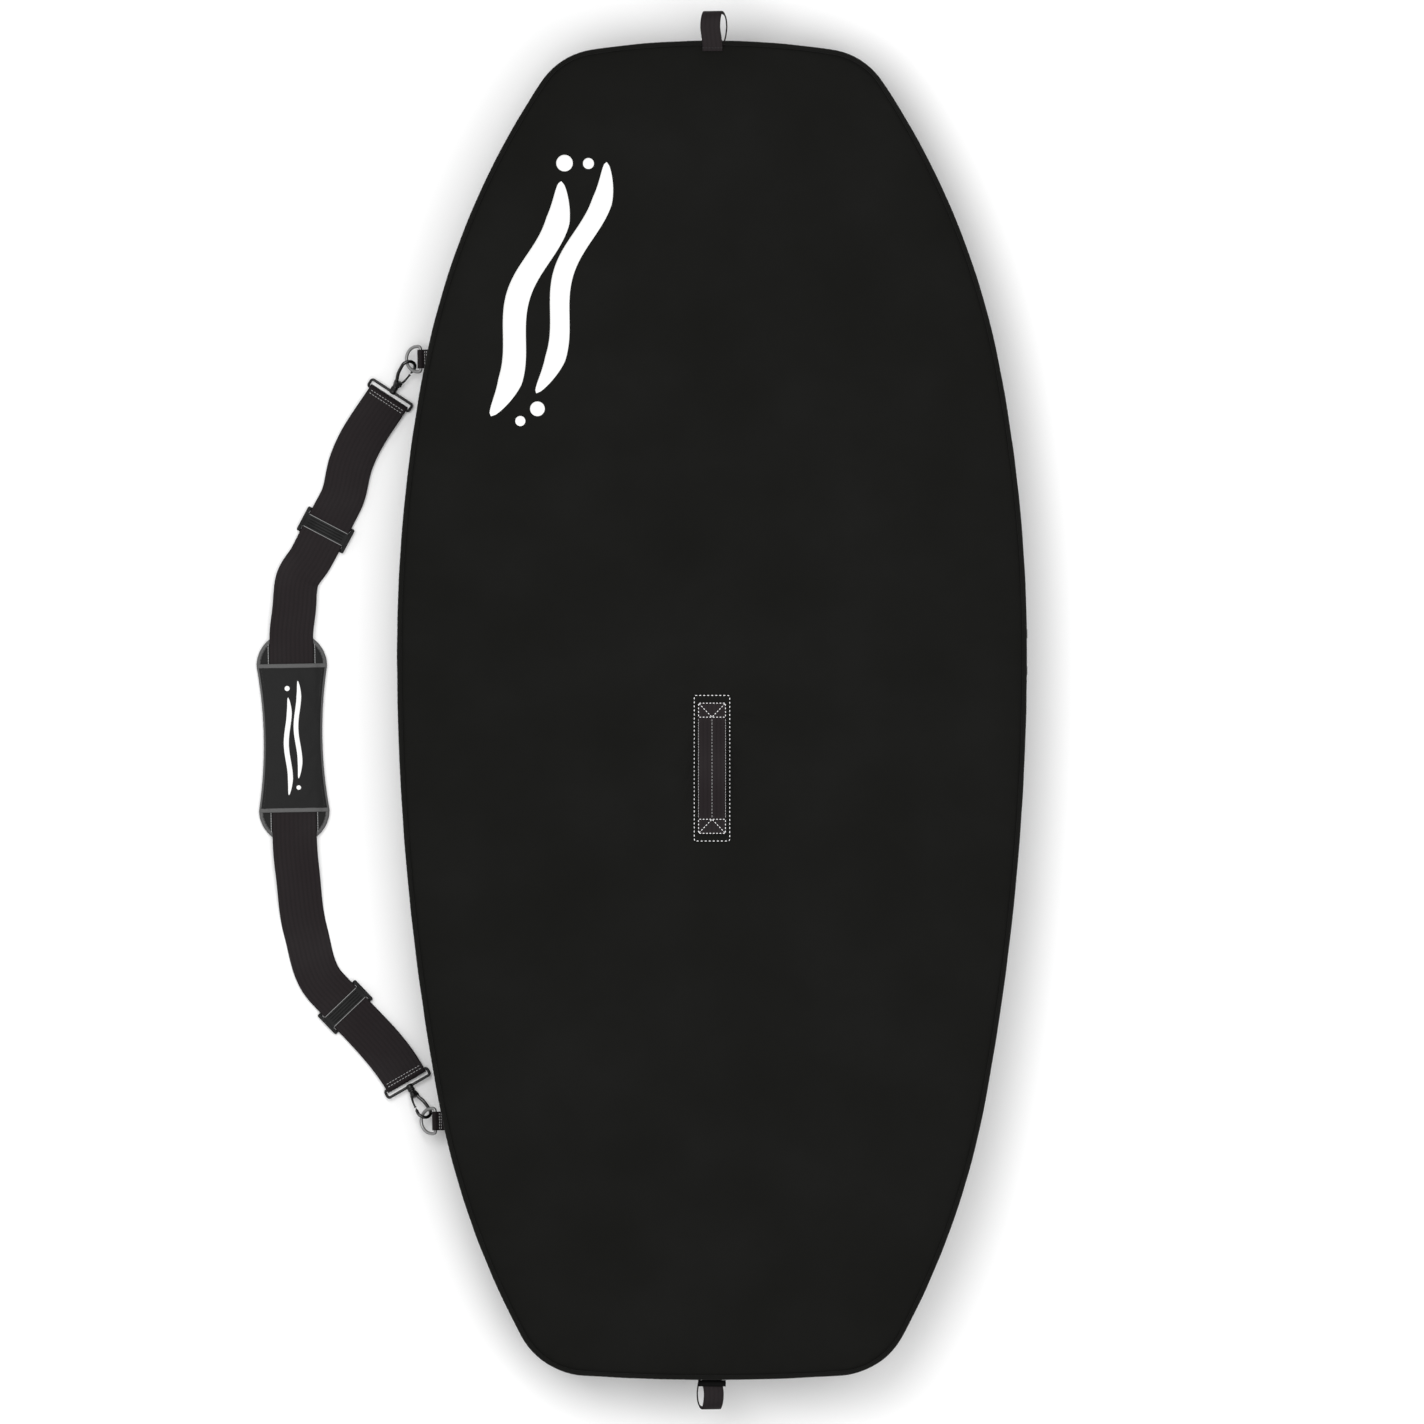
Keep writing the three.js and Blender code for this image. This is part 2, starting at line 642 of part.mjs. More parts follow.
// The under layer runs from a hook's frame back to the middle of the nearest buckle.
function underLayer(legs) {
  return legs.flatMap((i) => {
    const half = Object.values(BUCKLE_LEGS).includes(i);
    const all = stationsOf(leg(i), half ? 6 : 7, STRAP_LOW);
    if (!half) return all.slice(i === 0 ? 0 : 1, i === WAY.length - 2 ? 8 : 7);
    return i === BUCKLE_LEGS.upper ? all.slice(0, 4) : all.slice(3, 6);
  });
}

function strapStations() {
  const straight = [BUCKLE_LEGS.upper, PAD_LEG, BUCKLE_LEGS.lower];
  const main = WAY.slice(1).flatMap((_, i) => {
    const stations = stationsOf(leg(i), straight.includes(i) ? 2 : 9);
    return i === 0 ? stations : stations.slice(1);
  });
  return [
    ...backwards(underLayer([0, 1, BUCKLE_LEGS.upper])),
    ...foldStations("upper"),
    ...main,
    ...foldStations("lower").reverse().map(({ point, across }) => ({ point, across: across.negate() })),
    ...backwards(underLayer([BUCKLE_LEGS.lower, BUCKLE_LEGS.lower + 1])),
  ];
}

// A slide buckle: two end bars under the webbing and a wide plate over it, joined by a rail at each side.
// It is built round the webbing's middle, which runs along Y.
function buckleGeometry() {
  const inner = FRAME.inner / 2;
  const outer = inner + BUCKLE.rail;
  const reach = BUCKLE.length / 2;
  const low = -2.2;
  const high = 2.7;
  const pass = WEBBING.thickness / 2 + GAP;
  const rail = (from, to) => rounded(roundedRectangle(from, -reach, to, reach, 1.7), low, high, 0.5, 2);
  const across = inner + 1;
  const plateBody = block([-across, -BUCKLE.plate / 2, pass], [across, BUCKLE.plate / 2, high - 0.3]);
  const bars = [-1, 1].map((side) => {
    const middle = side * (reach - BUCKLE.bar / 2);
    return block(
      [-across, middle - BUCKLE.bar / 2, low + 0.05],
      [across, middle + BUCKLE.bar / 2, -pass],
    );
  });
  return joined(rail(-outer, -inner), rail(inner, outer), plateBody, ...bars);
}

// The frame holds the webbing on one bar; the other bar has the barrel that the hook turns in.
// Its webbing bar lies along X at the origin, and the hook points along +Y.
function frameGeometry() {
  const half = FRAME.inner / 2;
  const rod = FRAME.rod;
  const far = rod / 2 + FRAME.slot;
  const outline = roundedRectangle(-half - rod, -rod / 2, half + rod, far + rod, 2.5);
  outline.holes.push(roundedRectangle(-half, rod / 2, half, far, 0.8));
  const loop = rounded(outline, -rod / 2, rod / 2, 0.6, 2);
  const barrel = rodAlongY(3.7, far + 0.1, far + rod + 5);
  return cut(joined(loop, barrel), rodAlongY(2.4, far - 1, far + rod + 6));
}

const HOOK = { collarFrom: 16.4, collarTo: 23, bowAt: 43.5, bow: 7.6, pivot: [2.4, 20.5], pin: 0.8 };

// The hook's rod leaves the collar on one side, rounds the bow and ends in the nose on the other side.
function hookGeometry() {
  const head = rodAlongY(3.1, 5.2, 6.9);
  const pin = rodAlongY(2, 6, HOOK.collarFrom + 1);
  const collar = block([-4.5, HOOK.collarFrom, -3.8], [4.5, HOOK.collarTo, 3.8]);
  const slot = block([-0.2, HOOK.collarFrom + 1.4, -1.7], [6, HOOK.collarTo + 1, 1.7]);
  const [px, py] = HOOK.pivot;
  const pinHole = raised(circle(HOOK.pin + GAP, px, py), -5, 5, 8);
  const points = [[-2.4, 20.6], [-3.6, 25], [-6.6, 33]];
  for (let i = 0; i <= 8; i++) {
    const angle = Math.PI * (1 - i / 8);
    points.push([HOOK.bow * Math.cos(angle), HOOK.bowAt + HOOK.bow * Math.sin(angle)]);
  }
  points.push([7, 38.6]);
  const line = new THREE.CatmullRomCurve3(points.map(([x, y]) => new THREE.Vector3(x, y, 0)));
  const section = new THREE.Shape();
  section.absarc(0, 0, HOOK_ROD, 0, 2 * Math.PI);
  const options = { steps: 26, extrudePath: line, curveSegments: 4 };
  const rod = new THREE.ExtrudeGeometry(section, options);
  return joined(head, pin, cut(collar, slot, pinHole), rod);
}

// The spring gate closes the hook's mouth; it turns inwards on the pin in the collar.
function gateGeometry() {
  const [px, py] = HOOK.pivot;
  const lever = new THREE.Shape([
    new THREE.Vector2(px - 1.5, py),
    new THREE.Vector2(px, py - 1.7),
    new THREE.Vector2(px + 1.7, py - 0.4),
    new THREE.Vector2(px + 4.6, py + 4),
    new THREE.Vector2(px + 5.6, py + 15.2),
    new THREE.Vector2(px + 3.4, py + 15.6),
    new THREE.Vector2(px + 1.6, py + 6),
  ]);
  lever.holes.push(circle(HOOK.pin + GAP, px, py));
  return raised(lever, -1.3, 1.3, 6);
}

function buildHooks(strap) {
  for (const [end, { bar, slope, heading }] of Object.entries(HOOK_PLACES)) {
    const frame = new THREE.Group();
    frame.position.copy(bar);
    frame.rotation.set(slope, 0, rad(heading - 90), "ZXY");
    strap.add(frame);
    piece(`hook_frame_${end}`, frameGeometry(), BLACK_METAL, frame);
    const swivel = new THREE.Group();
    swivel.rotation.y = rad(HOOKS[end].swivel);
    frame.add(swivel);
    piece(`snap_hook_${end}`, hookGeometry(), NICKEL, swivel);
    piece(`hook_gate_${end}`, gateGeometry(), BLACK_METAL, swivel);
    const [px, py] = HOOK.pivot;
    const pin = raised(circle(HOOK.pin, px, py), -3.7, 3.7, 8);
    piece(`gate_pin_${end}`, pin, BLACK_METAL, swivel);
  }
}

function buildBuckles(strap) {
  for (const [end, i] of Object.entries(BUCKLE_LEGS)) {
    const middle = leg(i).getPoint(0.5);
    const buckle = piece(`slide_buckle_${end}`, buckleGeometry(), BLACK_PLASTIC, strap);
    buckle.position.copy(middle);
    buckle.rotation.z = rad(WAY[i].heading + 90);
  }
}

// ---- The shoulder pad ----

// The pad's outline: hollow sides between two round ends. grow moves it out.
function padOutline(grow) {
  const { waist, end, straight, cap } = PAD;
  const sag = end - waist;
  const radius = (straight * straight + sag * sag) / (2 * sag);
  const hollow = radius - grow;
  const sweep = Math.asin(straight / hollow);
  const width = waist + radius - hollow * Math.cos(sweep);
  const shape = new THREE.Shape();
  shape.absellipse(0, straight, width, cap + grow, 0, Math.PI, false);
  shape.absarc(-waist - radius, 0, hollow, sweep, -sweep, true);
  shape.absellipse(0, -straight, width, cap + grow, Math.PI, 2 * Math.PI, false);
  shape.absarc(waist + radius, 0, hollow, Math.PI + sweep, Math.PI - sweep, true);
  return shape;
}

function buildPad(strap) {
  const pad = new THREE.Group();
  pad.position.set(PAD.x, PAD.y, 0);
  pad.rotation.z = rad(PAD.turn);
  strap.add(pad);
  const steps = 10;
  piece("pad_base", raised(padOutline(-BINDING - GAP), GAP, GAP + PAD.base, steps), PAD_FABRIC, pad);
  const ring = padOutline(0);
  ring.holes.push(new THREE.Path(padOutline(-BINDING).getPoints(steps).reverse()));
  piece("pad_binding", raised(ring, GAP, GAP + PAD.base, steps), GREY_BINDING, pad);
  const channelTop = STRAP_PAD + WEBBING.thickness / 2 + GAP;
  const cover = raised(padOutline(-BINDING), PAD.base + 2 * GAP, channelTop + PAD.cover, steps);
  const side = 60;
  const channel = block([-WEBBING.width / 2 - 1, -side * 2, 0], [WEBBING.width / 2 + 1, side * 2, channelTop]);
  const ends = [-1, 1].map((way) => {
    const [near, far] = [way * PAD.straight, way * (PAD.straight + side)];
    return block([-side, Math.min(near, far), 0], [side, Math.max(near, far), 30]);
  });
  piece("pad_cover", cut(cover, channel, ...ends), PAD_FABRIC, pad);
}

function buildStrap(bag) {
  const strap = new THREE.Group();
  bag.add(strap);
  const webbing = ribbon(strapStations(), WEBBING.width, WEBBING.thickness);
  piece("shoulder_webbing", webbing, STRAP_FABRIC, strap);
  buildHooks(strap);
  buildBuckles(strap);
  buildPad(strap);
}

// ---- Zip sliders ----

// A slider's body faces +X. Its plate covers the teeth, its lip reaches under the lower row, and the bail in
// front holds the pull. The upper lip is left off, so that the lid can lift away.
function sliderGeometry() {
  const half = ZIP_SLIDER.length / 2;
  const back = -TEETH_INSET + GAP;
  const front = back + ZIP_SLIDER.plate;
  const shape = new THREE.Shape([
    new THREE.Vector2(-half, -4.5),
    new THREE.Vector2(half - 6, -6),
    new THREE.Vector2(half, -5),
    new THREE.Vector2(half, 5),
    new THREE.Vector2(half - 6, 6),
    new THREE.Vector2(-half, 4.5),
  ]);
  const body = raised(shape, 0, ZIP_SLIDER.plate).rotateX(Math.PI / 2).rotateZ(Math.PI / 2);
  body.translate(back, 0, 0);
  const lip = block([-TAPE_INSET + GAP, -half + 1, -6], [front, half - 7, -4.3]);
  const top = front + BAIL.rise + BAIL.rod;
  const posts = [-BAIL.half, BAIL.half - BAIL.rod].map((y) =>
    block([back + 0.4, y, -1], [top, y + BAIL.rod, 1]),
  );
  const bail = block([top - BAIL.rod, -BAIL.half, -1], [top, BAIL.half, 1]);
  return joined(body, lip, ...posts, bail);
}

// The pull lies along the zip. The bar at its end passes under the bail, and the bail through its eye.
function pullGeometry() {
  const { width, length, thickness, bar, eye } = ZIP_PULL;
  const outline = roundedRectangle(-width / 2, -length, width / 2, bar / 2, 0.7);
  outline.holes.push(roundedRectangle(-2, -bar / 2 - eye, 2, -bar / 2, 0.4));
  return raised(outline, -thickness / 2, thickness / 2, 2).rotateY(Math.PI / 2);
}

function buildZipSliders(bag) {
  const chains = { tail: [TAIL_CHAIN, -1], nose: [NOSE_CHAIN, 1] };
  for (const [end, [chain, sign]] of Object.entries(chains)) {
    const { centre, radius } = chain[0];
    const turn = (sign * ZIP_SLIDER.start) / radius;
    const slider = new THREE.Group();
    slider.position.set(centre.x + radius * Math.cos(turn), centre.y + radius * Math.sin(turn), ZIP_Z);
    slider.rotation.z = turn;
    bag.add(slider);
    piece(`zip_slider_${end}`, sliderGeometry(), NICKEL, slider).scale.y = sign;
    const pull = piece(`zip_pull_${end}`, pullGeometry(), NICKEL, slider);
    pull.position.x = GAP - TEETH_INSET + ZIP_SLIDER.plate + BAIL.rise / 2;
    pull.scale.y = -sign;
  }
}

// ---- The whole bag ----

const bag = new THREE.Group();
buildLowerCase(bag);
buildZipHalf("lower", -1, bag);
buildZipStops(bag);
buildTailLoop(bag);
buildLid(bag);
buildRings(bag);
buildStrap(bag);
buildZipSliders(bag);

export default bag;
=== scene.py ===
"""Looks of a padded board bag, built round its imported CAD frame.

Lengths are in millimetres until a mesh is made. The lights and the floor are in metres.
"""

from math import asin, atan2, cos, hypot, pi, radians, sin, sqrt, tau

import bmesh
import bpy
import numpy as np
from mathutils import Matrix, Vector
from mathutils.bvhtree import BVHTree


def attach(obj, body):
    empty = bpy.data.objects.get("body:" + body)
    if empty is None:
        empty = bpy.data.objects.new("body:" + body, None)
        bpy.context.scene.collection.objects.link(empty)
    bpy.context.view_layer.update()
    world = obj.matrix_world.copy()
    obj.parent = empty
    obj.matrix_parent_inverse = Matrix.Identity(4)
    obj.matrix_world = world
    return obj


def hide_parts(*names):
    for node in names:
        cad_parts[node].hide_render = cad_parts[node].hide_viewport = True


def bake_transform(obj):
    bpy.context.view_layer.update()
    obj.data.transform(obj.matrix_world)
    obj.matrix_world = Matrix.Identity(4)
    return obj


MM = 0.001
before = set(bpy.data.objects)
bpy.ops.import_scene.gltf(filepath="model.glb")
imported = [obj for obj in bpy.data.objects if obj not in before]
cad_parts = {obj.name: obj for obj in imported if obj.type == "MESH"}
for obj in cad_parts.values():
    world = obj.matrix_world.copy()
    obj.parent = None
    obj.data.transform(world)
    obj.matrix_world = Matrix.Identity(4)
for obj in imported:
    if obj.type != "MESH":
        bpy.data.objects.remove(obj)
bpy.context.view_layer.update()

# ---- Driving dimensions, the same as the CAD part's ----

WIDEST = (342.0, 64.0)
NOSE_ARCS = [(1637, 10.9), (845, 22.9), (79, 47.5)]  # radius and turn in degrees
TAIL_ARCS = [(2653, 10.6), (881, 17.6), (82, 57.9)]
HEIGHT = 125.0
CROWN = 12.0
PIPING = 5.0
PANEL_INSET, SKIN_INSET, TAPE_INSET, TEETH_INSET = 4.4, 4.2, 6.0, 3.8
FOAM_INSET, LINING_INSET = 7.2, 11.5
SHELL = 1.4  # thickness of the outer cloth
WALL_LOW, WALL_FOAM_LOW = 5.9, 8.3
ZIP_GAP, ZIP_FOAM_GAP = 13.7, 6  # from the zip's middle to the edge of the wall's cloth and of its foam
ZIP_Z = 74.1
ZIP_END = -76.0
TAIL_HINGE = (-725.0, 122.0)

RING_TILT, RING_STRAIGHT, RING_HALF, RING_WIRE = 30.0, 4.0, 13.8, 1.8
BARS = {"upper": (-317.0, 383.0, 28.0), "lower": (-301.0, -446.0, 28.0)}
HOOKS = {  # the ring's angle, the hook's heading in plan and its turn on the swivel
    "upper": (-35.0, 57.0, 32.0),
    "lower": (45.0, -60.0, -32.0),
}
HOOK_REACH = 44.5
FRAME_INNER, FRAME_ROD, FRAME_SLOT = 49.4, 3.0, 6.3
FOLD_RADIUS = 2.9
FOLD_Z = 1 + FOLD_RADIUS
WEBBING = (48.0, 1.6)
STRAP_LOW, STRAP_BUCKLE, STRAP_PAD = 1.0, 4.3, 9.4
PAD = {"turn": 1.0, "waist": 32.0, "end": 38.5, "straight": 78.5, "cap": 37.5}
PAD_PLACE = Matrix.Translation((-456.05, -29.3, 0)) @ Matrix.Rotation(radians(PAD["turn"]), 4, "Z")
HANDLE = {"y": -62.0, "width": 31.0, "free": 111.0, "tab": 16.0, "rise": 15.0, "thick": 2.2}
PATCH = (42.0, 161.5)
SIDES = (("right", 1), ("left", -1))
ENDS = (("nose", 1), ("tail", -1))

# ---- Camera, floor and light ----

VIEW_WIDTH = 1548.0  # what the camera sees from side to side at the level of the bag's middle
LENS, SENSOR = 1000.0, 36.0


def add_object(name, data, place=(0, 0, 0)):
    obj = bpy.data.objects.new(name, data)
    obj.location = place
    bpy.context.scene.collection.objects.link(obj)
    return obj


def add_camera():
    camera = bpy.data.cameras.new("camera")
    camera.lens, camera.sensor_width, camera.clip_end = LENS, SENSOR, 100
    height = HEIGHT / 2 + VIEW_WIDTH * LENS / SENSOR
    bpy.context.scene.camera = add_object("camera", camera, (0, -0.001, height * MM))


def add_light(name, place, size, power):
    light = bpy.data.lights.new(name, "AREA")
    light.shape, light.size, light.energy = "SQUARE", size, power
    obj = add_object(name, light, place)
    obj.rotation_euler = (-Vector(place)).to_track_quat("-Z", "Y").to_euler()


def add_studio():
    world = bpy.data.worlds.new("studio")
    world.use_nodes = True
    background = world.node_tree.nodes["Background"]
    background.inputs["Color"].default_value = (1, 1, 1, 1)
    background.inputs["Strength"].default_value = 0.62
    bpy.context.scene.world = world
    bpy.context.scene.view_settings.view_transform = "Standard"
    add_light("key", (-0.7, 0.6, 3.4), 2.0, 74)
    add_light("fill", (0.9, -0.75, 3.3), 2.2, 46)
    half = 30.0
    corners = [(-half, -half, 0), (half, -half, 0), (half, half, 0), (-half, half, 0)]
    mesh = bpy.data.meshes.new("floor")
    mesh.from_pydata(corners, [], [(0, 1, 2, 3)])
    mesh.materials.append(floor_material())
    floor = add_object("floor", mesh, (0, 0, -0.0006))


# ---- Materials ----


class Shader:
    """A node material. Its coordinates are the mesh's uv map, which is in metres, or the object's own."""

    def __init__(self, name, colour, roughness, metallic=0.0, specular=0.5):
        self.material = bpy.data.materials.new(name)
        self.material.use_nodes = True
        self.tree = self.material.node_tree
        self.bsdf = self.tree.nodes["Principled BSDF"]
        self.colour = colour
        self.set(**{"Base Color": (*colour, 1), "Roughness": roughness, "Metallic": metallic})
        self.set(**{"Specular IOR Level": specular})

    def set(self, **values):
        for socket, value in values.items():
            self.bsdf.inputs[socket].default_value = value

    def node(self, kind, inputs=None, **settings):
        made = self.tree.nodes.new("ShaderNode" + kind)
        for key, value in settings.items():
            setattr(made, key, value)
        for socket, value in (inputs or {}).items():
            self.feed(made.inputs[socket], value)
        return made

    def feed(self, socket, value):
        if isinstance(value, bpy.types.NodeSocket):
            self.tree.links.new(value, socket)
        else:
            socket.default_value = value

    def math(self, operation, a, b=0.0):
        return self.node("Math", {0: a, 1: b}, operation=operation).outputs[0]

    def add(self, a, b):
        return self.math("ADD", a, b)

    def times(self, a, b):
        return self.math("MULTIPLY", a, b)

    def axes(self):
        uv = self.node("UVMap", uv_map="cloth").outputs[0]
        return self.node("SeparateXYZ", {0: uv}).outputs

    def noise(self, scale, detail, roughness=0.5):
        where = self.node("TexCoord").outputs["Object"]
        inputs = {"Vector": where, "Scale": scale, "Detail": detail, "Roughness": roughness}
        return self.node("TexNoise", inputs).outputs["Fac"]

    def mix(self, fac, a, b):
        """Gives the base colour a where fac is 0 and b where it is 1."""
        mix = self.node("Mix", data_type="RGBA")
        for socket, value in (("Factor", fac), ("A", a), ("B", b)):
            self.feed(mix.inputs[socket], value)
        colour = next(o for o in mix.outputs if o.type == "RGBA")
        self.tree.links.new(colour, self.bsdf.inputs["Base Color"])

    def shade(self, fac, dark, light):
        """Varies the base colour between dark and light times its own value."""
        self.mix(fac, *[(*[c * share for c in self.colour], 1) for share in (dark, light)])

    def rough(self, fac, low, high):
        inputs = {"Value": fac, "From Min": 0.3, "From Max": 0.7, "To Min": low, "To Max": high}
        self.feed(self.bsdf.inputs["Roughness"], self.node("MapRange", inputs).outputs[0])

    def bump(self, height, depth):
        inputs = {"Height": height, "Distance": depth * MM, "Strength": 1.0}
        normal = self.bsdf.inputs["Normal"]
        if normal.is_linked:
            inputs["Normal"] = normal.links[0].from_socket
        self.tree.links.new(self.node("Bump", inputs).outputs[0], normal)

    def wear(self, spots, shades, roughs, relief, depth):
        """Spots that vary the shade and the roughness, over a relief."""
        worn = self.noise(*spots)
        self.shade(worn, *shades)
        self.rough(worn, *roughs)
        self.bump(relief, depth)
        return self


def weave(shader, pitch_u, pitch_v):
    """A plain weave's height: threads cross at the given pitches."""
    u, v, _ = shader.axes()
    u = shader.math("SINE", shader.times(u, tau / (pitch_u * MM)))
    v = shader.math("SINE", shader.times(v, tau / (pitch_v * MM)))
    return shader.math("MULTIPLY_ADD", shader.times(u, v), 0.5)


def cloth(name, colour, pitch=(1.3, 1.3), depth=0.12, roughness=0.82, sheen=0.04, specular=0.12):
    """Woven cloth: threads, mottled shade and fine fuzz."""
    shader = Shader(name, colour, roughness, specular=specular)
    shader.set(**{"Sheen Weight": sheen, "Sheen Roughness": 0.5})
    threads = weave(shader, *pitch)
    mottle, grain = shader.noise(9.0, 5.0), shader.noise(900.0, 2.0)
    tone = shader.add(shader.times(threads, 0.4), shader.times(mottle, 0.38))
    shader.shade(shader.add(tone, shader.times(grain, 0.25)), 0.62, 1.35)
    shader.rough(mottle, roughness - 0.07, roughness + 0.08)
    shader.bump(grain, 0.04)
    shader.bump(threads, depth)
    return shader


QUILT = 95.0
DASH_PITCH = 9.0


def quilted_lining(name, colour):
    """A smooth grey lining with dark dashes along the lines of a diamond quilt: darker thread together with
    painted shade in the stitch grooves.
    """
    shader = cloth(name, colour, (0.9, 0.9), 0.06, 0.5, 0.02, 0.5)
    x, y, _ = shader.axes()
    thread_and_groove_shade = 0.0
    for way in (1, -1):
        across, along = (shader.add(x, shader.times(y, side)) for side in (way, -way))
        away = shader.math("PINGPONG", shader.times(across, 1 / (QUILT * MM * sqrt(2))), 0.5)
        row = shader.math("LESS_THAN", away, 0.7 / QUILT)
        step = shader.math("FRACT", shader.times(along, 1 / (DASH_PITCH * MM)))
        dash = shader.times(row, shader.math("LESS_THAN", step, 0.62))
        thread_and_groove_shade = shader.math("MAXIMUM", dash, thread_and_groove_shade)
    # the dark dashes are the thread and a painted shade in the quilt's stitch grooves
    base = shader.bsdf.inputs["Base Color"].links[0].from_socket
    shader.mix(thread_and_groove_shade, base, (0.07, 0.07, 0.075, 1))
    return shader


def webbing(name, colour):
    """Heavy webbing: ribs along its length with a herringbone across them."""
    shader = Shader(name, colour, 0.72, specular=0.14)
    shader.set(**{"Sheen Weight": 0.03, "Sheen Roughness": 0.45})
    u, v, _ = shader.axes()
    rib = shader.math("PINGPONG", shader.times(v, 1 / (2.4 * MM)), 1.0)
    slant = shader.times(shader.math("MULTIPLY_ADD", rib, 2.2), 2.6)
    chevron = shader.math("SINE", shader.add(shader.times(u, tau / (1.7 * MM)), slant))
    height = shader.add(shader.times(chevron, 0.25), shader.math("POWER", rib, 0.5))
    mottle = shader.noise(14.0, 5.0)
    shader.shade(shader.times(shader.add(height, mottle), 0.55), 0.6, 1.4)
    shader.rough(mottle, 0.62, 0.8)
    shader.bump(height, 0.16)
    return shader


def metal(name, shade, roughness):
    """Plated metal with faint scratches and worn spots."""
    shader = Shader(name, (shade,) * 3, roughness, metallic=1.0)
    roughs = (roughness * 0.75, roughness * 1.5)
    return shader.wear((35.0, 5.0, 0.65), (0.82, 1.1), roughs, shader.noise(220.0, 4.0), 0.012)


def plastic(name, shade, roughness, grain, specular=0.25):
    """Moulded or painted black: a fine spark-eroded grain and slight wear."""
    shader = Shader(name, (shade,) * 3, roughness, specular=specular)
    roughs = (roughness - 0.08, roughness + 0.12)
    return shader.wear((40.0, 5.0), (0.7, 1.5), roughs, shader.noise(1500.0, 2.0), grain)


def screen_print():
    """A thick white screen print that lets a little of the weave through."""
    shader = Shader("white_print", (0.82, 0.82, 0.81), 0.5, specular=0.35)
    return shader.wear((60.0, 6.0, 0.7), (0.93, 1.03), (0.45, 0.62), weave(shader, 1.3, 1.3), 0.05)


def floor_material():
    shader = Shader("studio_floor", (0.9, 0.9, 0.9), 0.9, specular=0.1)
    shader.shade(shader.noise(3.0, 2.0), 0.995, 1.005)
    return shader.material


def thread(name, shade):
    return cloth(name, (shade,) * 3, (0.5, 0.5), 0.05, 0.6)


SHADERS = {
    "bag": cloth("bag_cloth", (0.0034, 0.0034, 0.0028), (1.3, 1.3), 0.12, 0.82, 0.032, 0.11),
    "lining": quilted_lining("lining_cloth", (0.3, 0.31, 0.32)),
    "zip_tape": cloth("zip_tape_cloth", (0.008,) * 3, (0.8, 2.0), 0.1, 0.8),
    "webbing": webbing("black_webbing", (0.0086, 0.0062, 0.0069)),
    "pad": cloth("pad_cloth", (0.0148,) * 3, (1.0, 1.0), 0.1, 0.85),
    "binding": cloth("grey_tape", (0.096,) * 3, (0.7, 1.6), 0.12, 0.8),
    "label": cloth("label_satin", (0.0016,) * 3, (0.5, 0.5), 0.03, 0.6, 0.01, 0.05),
    "thread": thread("grey_thread", 0.52),
    "white_thread": thread("white_thread", 0.86),
    "dark_thread": thread("dark_thread", 0.03),
    "nickel": metal("dark_polished_nickel", 0.06, 0.2),
    "grey_nickel": metal("grey_nickel", 0.32, 0.45),
    "zip_metal": metal("dark_nickel", 0.13, 0.3),
    "black_metal": plastic("black_plating", 0.006, 0.42, 0.01, 0.3),
    "plastic": plastic("black_plastic", 0.003, 0.5, 0.03, 0.13),
    # a light grey plastic whose colour is a painted highlight on the buckle's edge beads
    "painted_highlight_plastic": plastic("painted_highlight_plastic", 0.2, 0.5, 0.01, 0.3),
    "teeth": plastic("zip_teeth_plastic", 0.009, 0.38, 0.01),
    "print": screen_print(),
}

# ---- Lines ----


def as_array(points):
    return np.array(points, float).reshape(-1, 3)


def unit(vectors):
    return vectors / np.linalg.norm(vectors, axis=-1, keepdims=True)


def distances(line):
    """How far along a line each of its points is."""
    steps = np.linalg.norm(np.diff(line, axis=0), axis=1)
    return np.concatenate([[0], np.cumsum(steps)])


def sample(line, along, at):
    """The points of a line at some distances."""
    return np.stack([np.interp(at, along, line[:, k]) for k in range(line.shape[1])], -1)


def even(line, step):
    """The same line in even steps."""
    along = distances(line)
    count = max(2, round(along[-1] / step) + 1)
    return sample(line, along, np.linspace(0, along[-1], count))


def smooth_line(points, step, closed=False):
    """A Catmull-Rom line through points, in even steps."""
    p = as_array(points)
    ends = (p[-1], p[0], p[1]) if closed else (2 * p[0] - p[1], 2 * p[-1] - p[-2])
    p = np.vstack([ends[0], p, *ends[1:]])
    t = np.linspace(0, 1, 24, endpoint=False)[:, None]
    fine = []
    for a, b, c, d in zip(p, p[1:], p[2:], p[3:]):
        square, cube = 2 * a - 5 * b + 4 * c - d, 3 * b - a - 3 * c + d
        fine.append(0.5 * (2 * b + (c - a) * t + square * t**2 + cube * t**3))
    return even(np.vstack([*fine, p[-2]]), step)


def arc(x, y, radius, start, end, count):
    """Points on an arc, with its angles in degrees."""
    turns = np.radians(np.linspace(start, end, count))
    return [(x + radius * cos(t), y + radius * sin(t)) for t in turns]


def flat_points(points, z=0.0):
    return [(x, y, z) for x, y in points]


def in_place(points, matrix):
    m = np.array(matrix)
    return as_array(points) @ m[:3, :3].T + m[:3, 3]


def circle(sides):
    turns = np.arange(sides) * tau / sides
    return np.column_stack([np.cos(turns), np.sin(turns)])


def circle_profile(radius, sides, middle=(0.0, 0.0)):
    return middle + radius * circle(sides)


def band_profile(width, thickness, columns=12):
    """A flat band's section, with round edges."""
    half, r = width / 2, thickness / 2
    flat = np.linspace(-half + r, half - r, columns)
    right = [(half - r + r * 0.9 * cos(t), r * sin(t)) for t in np.radians([60, 20, -20, -60])]
    left = [(-x, -z) for x, z in right]
    return [(x, r) for x in flat] + right + [(x, -r) for x in flat[::-1]] + left


def wobble(u, v, size, seed, terms=8):
    """Smooth noise of about -1 to 1 with features of about that size."""
    rng = np.random.default_rng(seed)
    total = 0.0
    for _ in range(terms):
        angle, phase = rng.uniform(0, tau, 2)
        wave = size * rng.uniform(0.7, 1.7)
        total = total + np.sin(tau * (u * cos(angle) + v * sin(angle)) / wave + phase)
    return total / sqrt(terms)


# ---- Meshes ----


